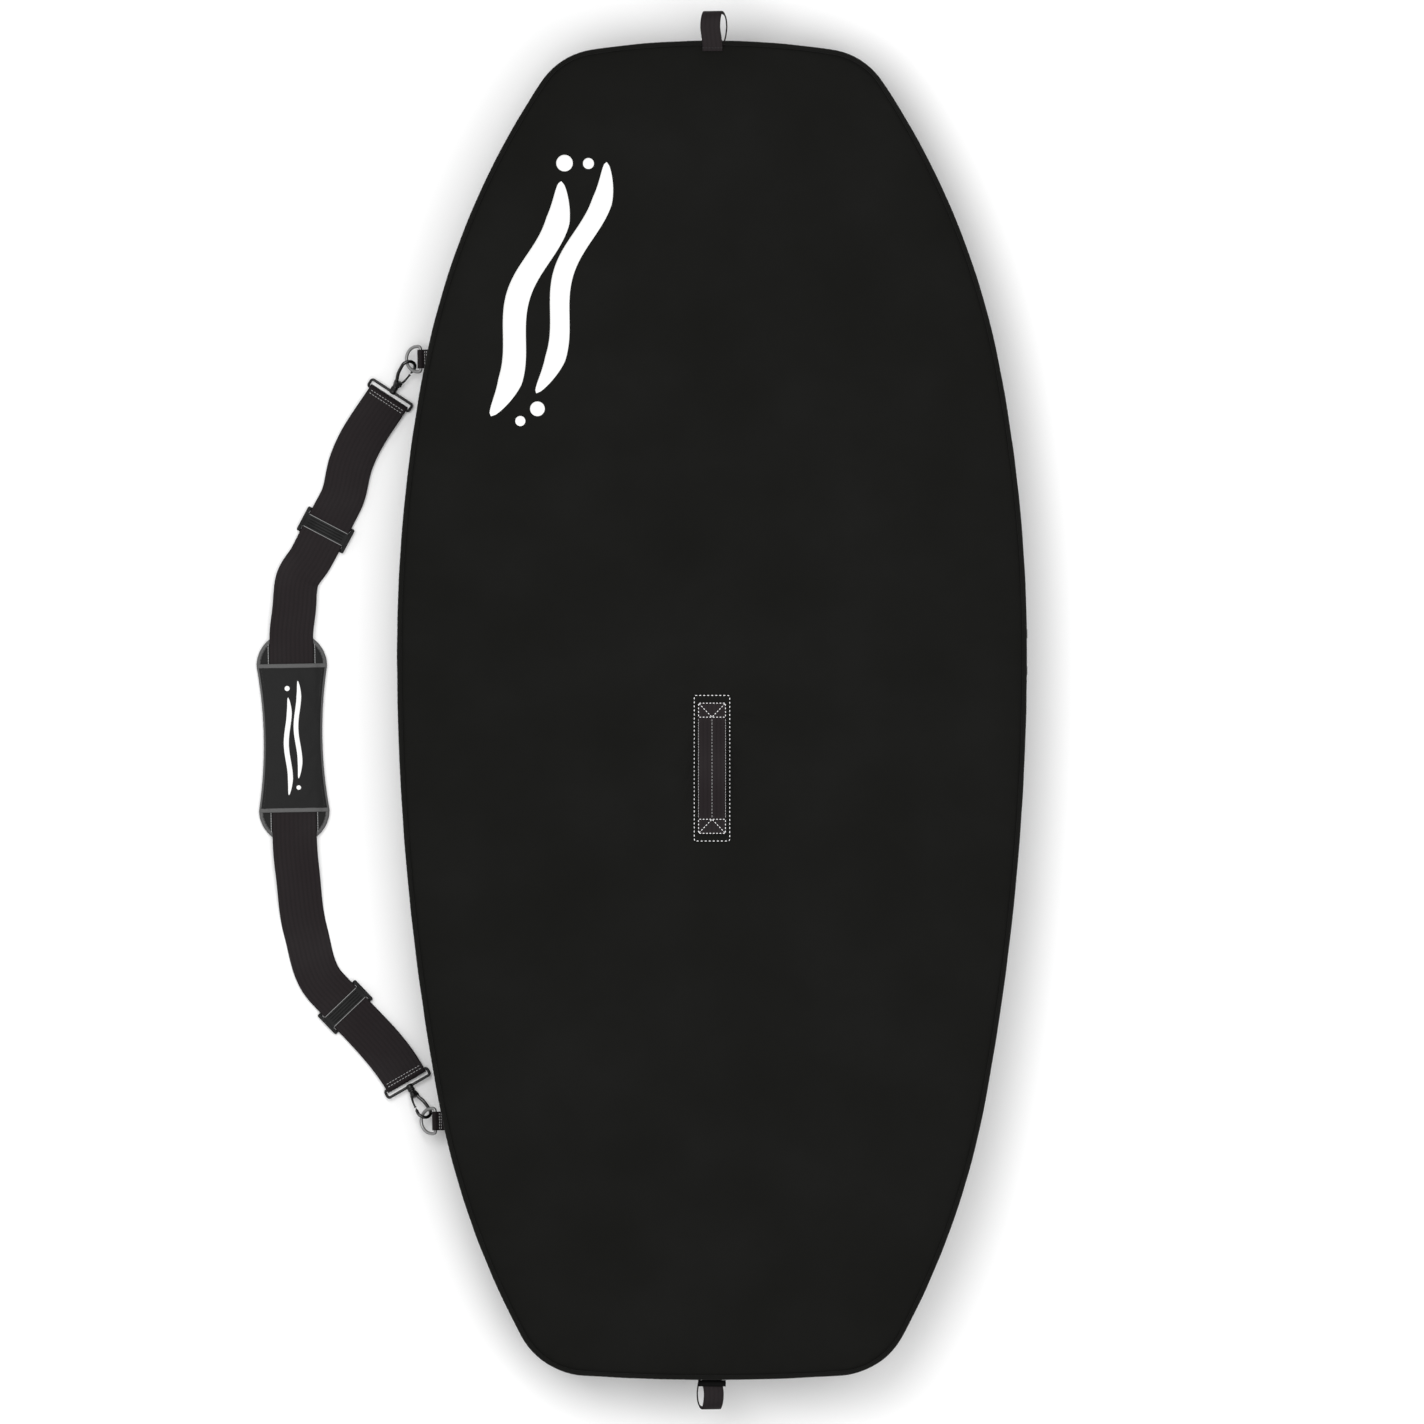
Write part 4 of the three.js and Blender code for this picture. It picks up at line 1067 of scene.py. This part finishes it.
# A hang loop that has twisted a quarter turn, so that one can see through it: points from its upper
# root round its tip to its lower root, each with its place across, its distance out from the bag's
# edge, its height above the loop's middle and its tilt in degrees.
LOOP_WIDTH = 22.0
LOOP_WAY = [
    (0.4, -11.5, 6.5, 0), (0.3, -3, 6.5, 2), (-0.9, 6, 6.7, 4), (-1.9, 15, 7.0, 6), (-1.3, 24, 6.4, 8),
    (0.2, 30.0, 3.4, 12), (1.2, 31.4, -0.5, 24), (5.5, 31.2, -3.4, 56), (10.6, 30.4, -4.6, 80),
    (13.6, 28.0, -5.2, 90), (15.3, 23, -5.7, 90), (16.0, 15, -6.0, 90), (15.2, 7, -6.2, 90),
    (13.8, 0, -6.4, 90), (13.0, -5, -6.5, 90),
]


def build_loop(end, body, edge, way, middle_z, leg):
    turned = as_array([(way * x, edge + way * out, middle_z + z) for x, out, z, _ in leg])
    line = smooth_line(turned, 1.2)
    at = distances(turned)
    tilt = np.radians(np.interp(np.linspace(0, 1, len(line)), at / at[-1], [t for *_, t in leg]))
    across = np.column_stack([np.cos(tilt) * way, 0 * tilt, np.sin(tilt)])
    sweep(
        f"{end}_loop_webbing", ribbon_stations(line, across), band_profile(LOOP_WIDTH, 1.5), "webbing",
        body=body, slot="webbing", replaces=(f"{end}_loop",),
    )


def build_loops():
    """The nose's loop is sewn over the panel, the tail's into the wall."""
    build_loop("nose", "lid", NOSE_Y, 1, HEIGHT - 5.4, LOOP_WAY)
    line = [(x, NOSE_Y - 8.0, HEIGHT + 2.05) for x in np.linspace(-11, 12, 12)]
    stitches("nose_loop_stitches", line, "dark_thread", "lid", pitch=3.4, length=2.4)
    middle_z = TAIL_HINGE[1] - 14.5
    build_loop("tail", "case", TAIL_Y, -1, middle_z, LOOP_WAY[1:])
    build_label(middle_z + 8.6)


def build_label(z):
    """A small folded satin label on the tail loop, left blank."""
    profile = [(0, 0), (6.4, 0), (6.7, 0.15), (6.8, 0.45), (6.7, 0.75), (6.4, 0.9), (0, 0.9)]
    xs = np.linspace(-15, 15, 16)
    points = [(x, TAIL_Y - a - 0.3, z + b + 0.08 * sin(x / 3.1)) for x in xs for a, b in profile]
    piece(
        "tail_label_satin", points, closed_faces(len(xs), len(profile)), "label",
        body="case", slot="label_fabric", replaces=("tail_label",),
    )


# ---- D-rings ----

PIVOT = np.array(BARS["upper"]) - np.array(BARS["lower"])


def bar_matrix(end):
    return Matrix.Translation(BARS[end]) @ Matrix.Rotation(atan2(-PIVOT[0], PIVOT[1]), 4, "Z")


def build_ring(end):
    """A wire D: a straight bar with a half round bow that hangs down from it."""
    bar = [(0, y) for y in np.linspace(-10.3, 10.3, 7)]
    bow = arc(-RING_STRAIGHT, 0, RING_HALF, 90, 270, 26)
    line = bar + arc(-3, 10.8, 3, 15, 75, 3) + bow + arc(-3, -10.8, 3, -75, -15, 3)
    matrix = bar_matrix(end) @ Matrix.Rotation(-radians(RING_TILT), 4, "Y")
    line = smooth_line(in_place(flat_points(line), matrix), 1.2, closed=True)
    tube(
        f"dring_{end}_wire", line, RING_WIRE, "grey_nickel", 18, closed=True,
        body=f"ring_{end}", slot="hook_metal", replaces=(f"dring_{end}",),
    )


def build_tab(end):
    """A webbing tab that is folded round the ring's bar and sewn into the side wall."""
    fold = arc(0, 0, RING_WIRE + 1.15, 60, 300, 22)
    line = [(x, 0, z) for x, z in [(13.5, 0.85), (4.5, 0.95), *fold, (4.5, -0.95), (13.5, -0.85)]]
    matrix = bar_matrix(end)
    placed = in_place(even(as_array(line), 0.7), matrix)
    stations = ribbon_stations(placed, matrix.to_3x3() @ Vector((0, 1, 0)))
    sweep(
        f"dring_tab_{end}_webbing", stations, band_profile(20.6, 1.3, 10), "webbing",
        body="case", slot="webbing", replaces=(f"dring_tab_{end}",),
    )
    for i, x in enumerate((4.4, 6.4)):
        row = in_place([(x, y, 1.75) for y in np.linspace(-9, 9, 10)], matrix)
        name = f"dring_tab_{end}_stitches_{i}"
        stitches(name, row, "thread", "case", pitch=3.0, length=2.1, radius=0.3)


# ---- The shoulder strap ----

BUCKLE_LEGS = {"upper": 2, "lower": 11}
LEG_POINTS = 40


def heading_vector(degrees, reach=1.0):
    return np.array([cos(radians(degrees)), sin(radians(degrees)), 0.0]) * reach


def hook_place(end):
    """The frame's bar, its slope and its heading, from where the hook holds its ring."""
    ring_angle, heading, _ = HOOKS[end]
    out = RING_STRAIGHT + RING_HALF * cos(radians(ring_angle))
    tilt = radians(RING_TILT)
    wire = (-out * cos(tilt), RING_HALF * sin(radians(ring_angle)), -out * sin(tilt))
    x, y, z = bar_matrix(end) @ Vector(wire)
    slope = asin((z - FOLD_Z) / HOOK_REACH)
    back = heading_vector(heading, HOOK_REACH * cos(slope))
    return (x - back[0], y - back[1], FOLD_Z), slope, heading


def frame_matrix(end):
    bar, slope, heading = hook_place(end)
    turn = Matrix.Rotation(radians(heading - 90), 4, "Z")
    return Matrix.Translation(bar) @ turn @ Matrix.Rotation(slope, 4, "X")


def strap_way():
    """Points of the strap from the upper hook to the lower one, each with its heading in plan."""
    (ux, uy, _), _, up_heading = hook_place("upper")
    (lx, ly, _), _, low_heading = hook_place("lower")
    top = FOLD_Z + FOLD_RADIUS
    on_pad = [(*(PAD_PLACE @ Vector((0, y, 0)))[:2], STRAP_PAD, PAD["turn"] - 90) for y in (107, -107)]
    return [
        (ux, uy, top, up_heading - 180),
        (-393, 270, STRAP_BUCKLE, -109),
        (-405.1, 226.6, STRAP_BUCKLE, -117.7),
        (-436, 167.8, STRAP_BUCKLE, -117.7),
        (-447, 151.8, 5.7, -122.8),
        (-452.4, 138.8, 6.9, -100),
        (-454.4, 116, STRAP_PAD, -94),
        *on_pad,
        (-451.3, -174, STRAP_PAD, -83),
        (-442.3, -240, STRAP_LOW, -75),
        (-418.5, -302, STRAP_BUCKLE, -46.3),
        (-379.9, -342.5, STRAP_BUCKLE, -46.3),
        (lx, ly, top, low_heading),
    ]


STRAP_WAY = strap_way()


def strap_leg(i, count=LEG_POINTS, height=None):
    """The strap from one of its points to the next, at its own height or at another."""
    (*a, heading), (*b, next_heading) = STRAP_WAY[i : i + 2]
    a, b = np.array(a), np.array(b)
    handle = hypot(*(b - a)[:2]) * 0.36
    c, d = a + heading_vector(heading, handle), b - heading_vector(next_heading, handle)
    t = np.linspace(0, 1, count)[:, None]
    line = (1 - t) ** 3 * a + 3 * (1 - t) ** 2 * t * c + 3 * (1 - t) * t**2 * d + t**3 * b
    if height is not None:
        line[:, 2] = height
    return line


def fold_line(end):
    """Half a turn round a frame's bar, from the under layer to the upper one."""
    bar, _, heading = hook_place(end)
    turns = pi * (np.arange(1, 20) / 20 - 0.5)
    line = np.array(bar) + np.outer(FOLD_RADIUS * np.cos(turns), heading_vector(heading))
    line[:, 2] += FOLD_RADIUS * np.sin(turns)
    return line


def strap_line():
    """The whole strap, with its two ends turned back under it as far as the buckles."""
    legs, half = len(STRAP_WAY) - 1, LEG_POINTS // 2
    upper = [strap_leg(i, height=STRAP_LOW) for i in range(BUCKLE_LEGS["upper"] + 1)]
    lower = [strap_leg(i, height=STRAP_LOW) for i in range(BUCKLE_LEGS["lower"], legs)]
    upper[-1], lower[0] = upper[-1][:half], lower[0][half:]
    over = [strap_leg(i) for i in range(legs)]
    folds = fold_line("upper"), fold_line("lower")[::-1]
    line = np.vstack([np.vstack(upper)[::-1], folds[0], *over, folds[1], np.vstack(lower)[::-1]])
    return line[np.append(True, np.diff(distances(line)) > 0.05)]  # legs meet in the same point


def strap_across(line):
    """Level across directions, kept on one side of the strap through its folds."""
    across = [np.zeros(3)]
    for x, y, _ in np.gradient(line, axis=0):
        size = hypot(x, y)
        steep = size < 0.12
        side = across[-1] if steep else np.array([-y, x, 0.0]) / size
        across.append(-side if side @ across[-1] < 0 else side)
    return np.array(across[1:])


def build_webbing():
    line = even(strap_line(), 1.6)

    def ripple(s, a, b):
        in_from_edge = WEBBING[0] / 2 - np.abs(a)
        wander = 0.25 * wobble(s, 0 * s, 70, 91) * np.exp(-((in_from_edge / 1.6) ** 2))
        groove = 0.12 * np.exp(-(((in_from_edge - 3) / 0.8) ** 2))
        return a + wander * np.sign(a), b * (1 - groove)

    sweep(
        "shoulder_strap_webbing", ribbon_stations(line, strap_across(line)), band_profile(*WEBBING, 28),
        "webbing", ripple, body="strap", slot="webbing", replaces=("shoulder_webbing",),
    )
    for end in ("upper", "lower"):
        bar, _, heading = hook_place(end)
        top = np.array((*bar[:2], FOLD_Z + FOLD_RADIUS + 0.95))
        for i, away in enumerate((2.2, 5.6)):
            middle, side = top - heading_vector(heading, away), heading_vector(heading + 90)
            row = [middle + side * t for t in np.linspace(-21, 21, 30)]
            name = f"strap_{end}_stitches_{i}"
            stitches(name, row, "thread", "strap", pitch=3.6, length=2.4, radius=0.28)


# ---- Frames, swivels and hooks ----


def build_frame(end):
    """The wire frame that holds the webbing, with the socket that the hook turns in."""
    matrix = frame_matrix(end)
    far = FRAME_SLOT + FRAME_ROD
    loop = rectangle(FRAME_INNER + FRAME_ROD, far, 2.4, 1.0, far / 2, 6)
    loop = in_place(flat_points(loop), matrix)
    wire = tube(f"hook_frame_{end}_wire", loop, FRAME_ROD / 2, "black_metal", 14, closed=True)
    start = FRAME_SLOT + FRAME_ROD / 2
    socket = [
        (2.5, 0.3), (3.5, 0.3), (3.9, 1.0), (3.9, 3.2), (3.5, 3.9),
        (3.5, 5.2), (3.8, 5.7), (3.8, 7.2), (3.2, 7.9), (2.5, 7.9),
    ]
    socket = [(radius, start + y) for radius, y in socket]
    barrel = lathe(f"hook_frame_{end}_socket", socket, matrix, "black_metal")
    both = joined(f"hook_frame_{end}_plated", [wire, barrel])
    dress(both, "strap", (f"hook_frame_{end}",))


HOOK_BOW = (43.5, 7.6)
GATE_PIVOT = (2.4, 20.5)


def build_hook(end):
    matrix = frame_matrix(end) @ Matrix.Rotation(radians(HOOKS[end][2]), 4, "Y")
    at, bow = HOOK_BOW
    line = [(-2.4, 20.6), (-3.6, 25), (-6.6, 33), *arc(0, at, bow, 180, 0, 9), (7.0, 38.6), (6.7, 37.6)]
    line = smooth_line(flat_points(line), 0.8)
    share = np.linspace(0, 1, len(line))
    taper = np.clip((1 - share) / 0.04, 0.45, 1) * (1 - 0.12 * share)
    rod = tube(f"snap_hook_{end}_rod", in_place(line, matrix), 1.95, "nickel", 18, taper=taper)
    pin = [(2.0, 8.2), (2.0, 15.9), (3.3, 16.0), (3.6, 16.4), (3.6, 17.2)]
    pin = lathe(f"snap_hook_{end}_pin", pin, matrix, "nickel")
    body = joined(f"snap_hook_{end}_nickel", [rod, pin])
    dress(body, f"hook_{end}", (f"snap_hook_{end}",))
    build_collar(end, matrix)
    build_gate(end, matrix)


def build_collar(end, matrix):
    """The hook's dark collar: two cheeks on the swivel pin that spread towards the rod and the gate."""
    sections = [  # distance along, half width, half depth
        (16.6, 2.3, 2.6), (17.4, 3.2, 3.5), (19.0, 3.9, 3.8),
        (21.0, 4.5, 3.8), (22.6, 4.9, 3.5), (23.2, 4.6, 3.0),
    ]
    square = [np.abs(way) ** 0.6 * np.sign(way) for way in circle(24)]
    points = [(wide * c, y, deep * s) for y, wide, deep in sections for c, s in square]
    faces = closed_faces(len(sections), len(square))
    piece(
        f"hook_collar_{end}", in_place(points, matrix), faces, "black_metal",
        body=f"hook_{end}", slot="black_metal", replaces=(f"gate_pin_{end}",),
    )
    turned = matrix @ Matrix.Translation((*GATE_PIVOT, 0)) @ Matrix.Rotation(radians(90), 4, "X")
    rivet = [(0.3, 3.6), (1.1, 3.7), (1.25, 4.0), (1.0, 4.3), (0.3, 4.4)]
    heads = []
    for way in (1, -1):
        heads.append(lathe(f"rivet_{end}_{way}", [(r, way * y) for r, y in rivet], turned, "nickel", 14))
    dress(joined(f"gate_pin_{end}_heads", heads), f"hook_{end}")


def build_gate(end, matrix):
    """The sprung gate: a flat lever with a cupped tip that meets the hook's nose."""
    px, py = GATE_PIVOT
    line = [(px + 2.2, py + 3.0), (px + 3.3, py + 6.5), (px + 4.1, py + 11), (px + 4.45, py + 15.4)]
    line = smooth_line(flat_points(line), 0.8)
    share = np.linspace(0, 1, len(line))
    taper = 1.0 - 0.25 * share + 0.35 * np.exp(-(((share - 0.97) / 0.06) ** 2))
    tube(
        f"gate_{end}_lever", in_place(line, matrix), 1.25, "black_metal", 14, taper=taper,
        body=f"gate_{end}", slot="black_metal", replaces=(f"hook_gate_{end}",),
    )


# ---- Slide buckles ----


def build_buckle(end):
    """The CAD buckle keeps its shape, with softened edges, ribs on its middle bar and light grey beads along
    its edges, whose colour is a painted highlight.
    """
    repaint(f"slide_buckle_{end}", "plastic", 0.45)
    leg = BUCKLE_LEGS[end]
    middle, heading = strap_leg(leg, 3)[1], STRAP_WAY[leg][3]
    matrix = Matrix.Translation(middle) @ Matrix.Rotation(radians(heading + 90), 4, "Z")

    def rods(kind, ys, xs, z, radius, look, sides, taper=1.0):
        parts = []
        for y in ys:
            line = in_place([(x, y, z) for x in xs], matrix)
            parts.append(tube(f"buckle_{end}_{kind}_{y}", line, radius, look, sides, taper=taper))
        dress(joined(f"slide_buckle_{end}_{kind}", parts), f"buckle_{end}")

    blunt = np.clip((1 - np.abs(np.linspace(-1, 1, 22))) / 0.12, 0.4, 1)
    rods("ribs", (-4.5, -1.5, 1.5, 4.5), np.linspace(-21, 21, 22), 2.35, 0.55, "plastic", 10, blunt)
    # light grey beads along the plate's edges: their colour is a painted highlight
    rods("edges", (-7.1, 7.1), np.linspace(-23.5, 23.5, 24), 2.62, 0.42, "painted_highlight_plastic", 8)


# ---- The shoulder pad ----


def pad_width(y, grow):
    """Half of the pad's width at a distance from its middle."""
    straight, cap, end, waist = PAD["straight"], PAD["cap"] + grow, PAD["end"], PAD["waist"]
    sag = end - waist
    radius = (straight**2 + sag**2) / (2 * sag)
    side = waist + radius - sqrt((radius - grow) ** 2 - min(abs(y), straight) ** 2)
    past = max(0.0, abs(y) - straight)
    return side * sqrt(max(0.0, 1 - (past / cap) ** 2))


def pad_outline(grow, count=150):
    """The pad's closed outline about its own middle, as evenly spaced points."""
    reach = PAD["straight"] + PAD["cap"] + grow
    right = [(pad_width(y, grow), y) for y in reach * np.sin(np.linspace(-pi / 2, pi / 2, 160))]
    line = np.array(right + [(-x, y) for x, y in right[::-1]][1:])
    return even(line, distances(line)[-1] / count)[:-1]


def pad_stations(line):
    tangent = unit(np.roll(line, -1, 0) - np.roll(line, 1, 0))
    inward = flat_points(tangent[:, ::-1] * (-1, 1))
    turn = PAD_PLACE.to_3x3().to_4x4()
    up = np.tile([0.0, 0, 1], (len(line), 1))
    placed = in_place(flat_points(line), PAD_PLACE)
    return Stations(placed, in_place(inward, turn), up, closed=True)


def build_pad():
    build_pad_base()
    build_pad_binding()
    build_pad_cover()


def build_pad_base():
    """A foam pad in cloth: thick in the middle and drawn in where the binding holds its edge."""
    outline = pad_outline(-1.6)
    section = [  # share of the outline, height
        (0.02, 0.3), (0.3, 0.3), (0.6, 0.3), (0.85, 0.35), (0.96, 0.8), (1.0, 2.0), (1.0, 3.4), (1.0, 5.6),
        (0.97, 6.9), (0.92, 7.7), (0.84, 8.1), (0.7, 8.2), (0.5, 8.2), (0.25, 8.2), (0.02, 8.2),
    ]
    rings = []
    for share, z in section:
        x, y = (outline * share).T
        lift = np.minimum(0.25 * wobble(x, y, 30, 101), 0.1) if 1 < z < 8.15 else 0 * x
        rings.append(in_place(np.column_stack([x, y, z + lift]), PAD_PLACE))
    base = piece(
        "pad_base_cloth", rings, closed_faces(len(rings), len(outline)), "pad",
        body="pad", slot="pad_fabric", replaces=("pad_base",),
    )


def build_pad_binding():
    """Grey tape folded over the pad's edge."""
    turns = np.radians(np.linspace(-140, 140, 14))
    outer = [(2.5 - 2.5 * cos(t), 4.4 + 4.3 * sin(t)) for t in turns]
    inner = [(2.9 - 1.7 * cos(t), 4.4 + 3.4 * sin(t)) for t in turns[::-1]]

    def ripple(s, a, b):
        return a + 0.12 * puckers(s, 111, 9.0), b + 0.06 * wobble(s, a, 12, 112)

    sweep(
        "pad_binding_tape", pad_stations(pad_outline(0.0)), outer + inner, "binding", ripple,
        body="pad", slot="binding_fabric", replaces=("pad_binding",),
    )
    line = pad_outline(-3.6, 260)
    for name, way in ENDS:
        part = line[line[:, 1] * way > PAD["straight"] + 3]
        order = np.argsort(np.arctan2(part[:, 1] * way - 70, part[:, 0]))
        row = in_place(flat_points(part[order], 8.35), PAD_PLACE)
        stitches(f"pad_binding_stitches_{name}", row, "dark_thread", "pad", pitch=3.6, length=2.5)
        build_tunnel_seams(name, way)


def build_tunnel_seams(end, way):
    """The seams on the pad's end that guide the webbing, one on each of its sides."""
    reach = next(y for y in np.arange(120, 70, -0.5) if pad_width(min(y, 115.9), 0) > 29.5)
    for hand, side in SIDES:
        row = [(25.4 * side, way * y, 8.4) for y in np.linspace(PAD["straight"] + 2, reach, 14)]
        row = in_place(row, PAD_PLACE)
        stitches(f"pad_seam_{end}_{hand}", row, "thread", "pad", pitch=2.7, length=2.5, radius=0.3)


def cover_height(x):
    """The cover's top, which is raised over the webbing and sewn down beside it."""
    return 8.7 + 3.75 / (1 + np.exp((np.abs(x) - 27.6) / 1.5))


def build_pad_cover():
    """The panel over the webbing, with a grey binding across each of its ends."""
    rows, columns = 52, 34
    ys = np.linspace(-PAD["straight"], PAD["straight"], rows)
    x = np.array([np.linspace(-pad_width(y, -2.2), pad_width(y, -2.2), columns) for y in ys]).ravel()
    y = np.repeat(ys, columns)
    flat = np.column_stack([x, y, cover_height(x) + 0.12 * wobble(x, y, 26, 121)])
    cover = piece(
        "pad_cover_cloth", in_place(flat, PAD_PLACE), grid_faces(rows, columns), "pad", uvs=flat[:, :2],
        body="pad", slot="pad_fabric", replaces=("pad_cover",),
    )
    face_up(cover.data)
    seam = np.array([pad_width(v, -5.5) for v in y])
    inflate(cover, (np.abs(y) > PAD["straight"] - 3) | (np.abs(x) > seam), cap=1.3, pressure=2.0, slack=0.01)
    thicken(cover, 1.3)
    for name, way in ENDS:
        build_cover_binding(name, way * PAD["straight"])
    for name, way in SIDES:
        ys = np.linspace(-PAD["straight"] + 4, PAD["straight"] - 4, 60)
        row = in_place([(way * pad_width(y, -4.6), y, 8.95) for y in ys], PAD_PLACE)
        stitches(f"pad_cover_stitches_{name}", row, "dark_thread", "pad", pitch=3.8, length=2.6)


def build_cover_binding(name, y):
    """Grey tape folded over one end of the cover."""
    half = pad_width(y, -1.0)
    line = [(x, y, float(cover_height(x)) - 0.6) for x in np.linspace(-half, half, 60)]
    stations = ribbon_stations(in_place(line, PAD_PLACE), PAD_PLACE.to_3x3() @ Vector((0, 1, 0)))
    sweep(
        f"pad_cover_binding_{name}", stations, band_profile(5.0, 2.3, 6), "binding",
        body="pad", slot="binding_fabric",
    )


# ---- Prints ----


def wave_band(low, high, shift, thick, amplitude, wave, count=90, columns=5):
    """A grid of points over a wavy ribbon that tapers at both ends, along +Y."""
    y = np.linspace(low, high, count)
    middle = shift + amplitude * np.sin(tau * (y - low) / wave)
    share = (y - low) / (high - low)
    half = np.maximum(thick / 2 * np.clip(np.minimum(share, 1 - share) / 0.16, 0.0, 1.0) ** 0.5, 0.3)
    points = [(m + h * t, v) for v, m, h in zip(y, middle, half) for t in np.linspace(-1, 1, columns)]
    return points, grid_faces(count, columns)


def dot(x, y, radius, sides=26):
    rings = [(radius * share * c, radius * share * s) for share in (0.55, 1.0) for c, s in circle(sides)]
    points = [(x + out, y + up) for out, up in [(0, 0), *rings]]
    rim = grid_faces(2, sides, wrap_columns=True)
    middle = [(0, 1 + k, 1 + (k + 1) % sides) for k in range(sides)]
    return points, middle + [(1 + a, 1 + d, 1 + c, 1 + b) for a, b, c, d in rim]


def wave_print(name, shapes, matrix, drape, body):
    """Wavy ribbons and dots, printed on a cloth."""
    heap = Heap()
    for points, faces in shapes:
        heap.add(points, faces)
    placed = drape.over(in_place(flat_points(heap.points), matrix)[:, :2], 0.28)
    obj = piece(name, placed, heap.faces, "print", body=body)
    face_up(obj.data)
    thicken(obj, 0.25)


def build_prints(drape):
    shapes = [
        wave_band(-150, 116, shift=-24, thick=26, amplitude=9, wave=178),
        wave_band(-112, 150, shift=16, thick=22, amplitude=9, wave=178),
        dot(-26, 136, 9.0), dot(-1, 143, 6.0), dot(22, -128, 8.0), dot(8, -146, 5.5),
    ]
    matrix = Matrix.Translation((-174, 457, 0)) @ Matrix.Rotation(radians(-16.6), 4, "Z")
    wave_print("bag_wave_print", shapes, matrix, drape, "lid")
    shapes = [
        wave_band(-62, 44, shift=-5.4, thick=5.6, amplitude=1.9, wave=74),
        wave_band(-44, 62, shift=5.4, thick=5.2, amplitude=1.9, wave=74),
        dot(-5.4, 54, 2.8), dot(5.4, -54, 2.5),
    ]
    cover = Drape(bpy.data.objects["pad_cover_cloth"])
    wave_print("pad_wave_print", shapes, PAD_PLACE, cover, "pad")


# ---- Everything ----


def build_bag():
    drape = Drape(build_panels())
    build_walls()
    build_piping()
    build_zip()
    build_handle(drape)
    build_loops()
    return drape


def build_strap():
    for end in ("upper", "lower"):
        build_ring(end)
        build_tab(end)
        build_frame(end)
        build_hook(end)
        build_buckle(end)
    build_webbing()
    build_pad()


add_camera()
add_studio()
panel_drape = build_bag()
build_strap()
build_prints(panel_drape)
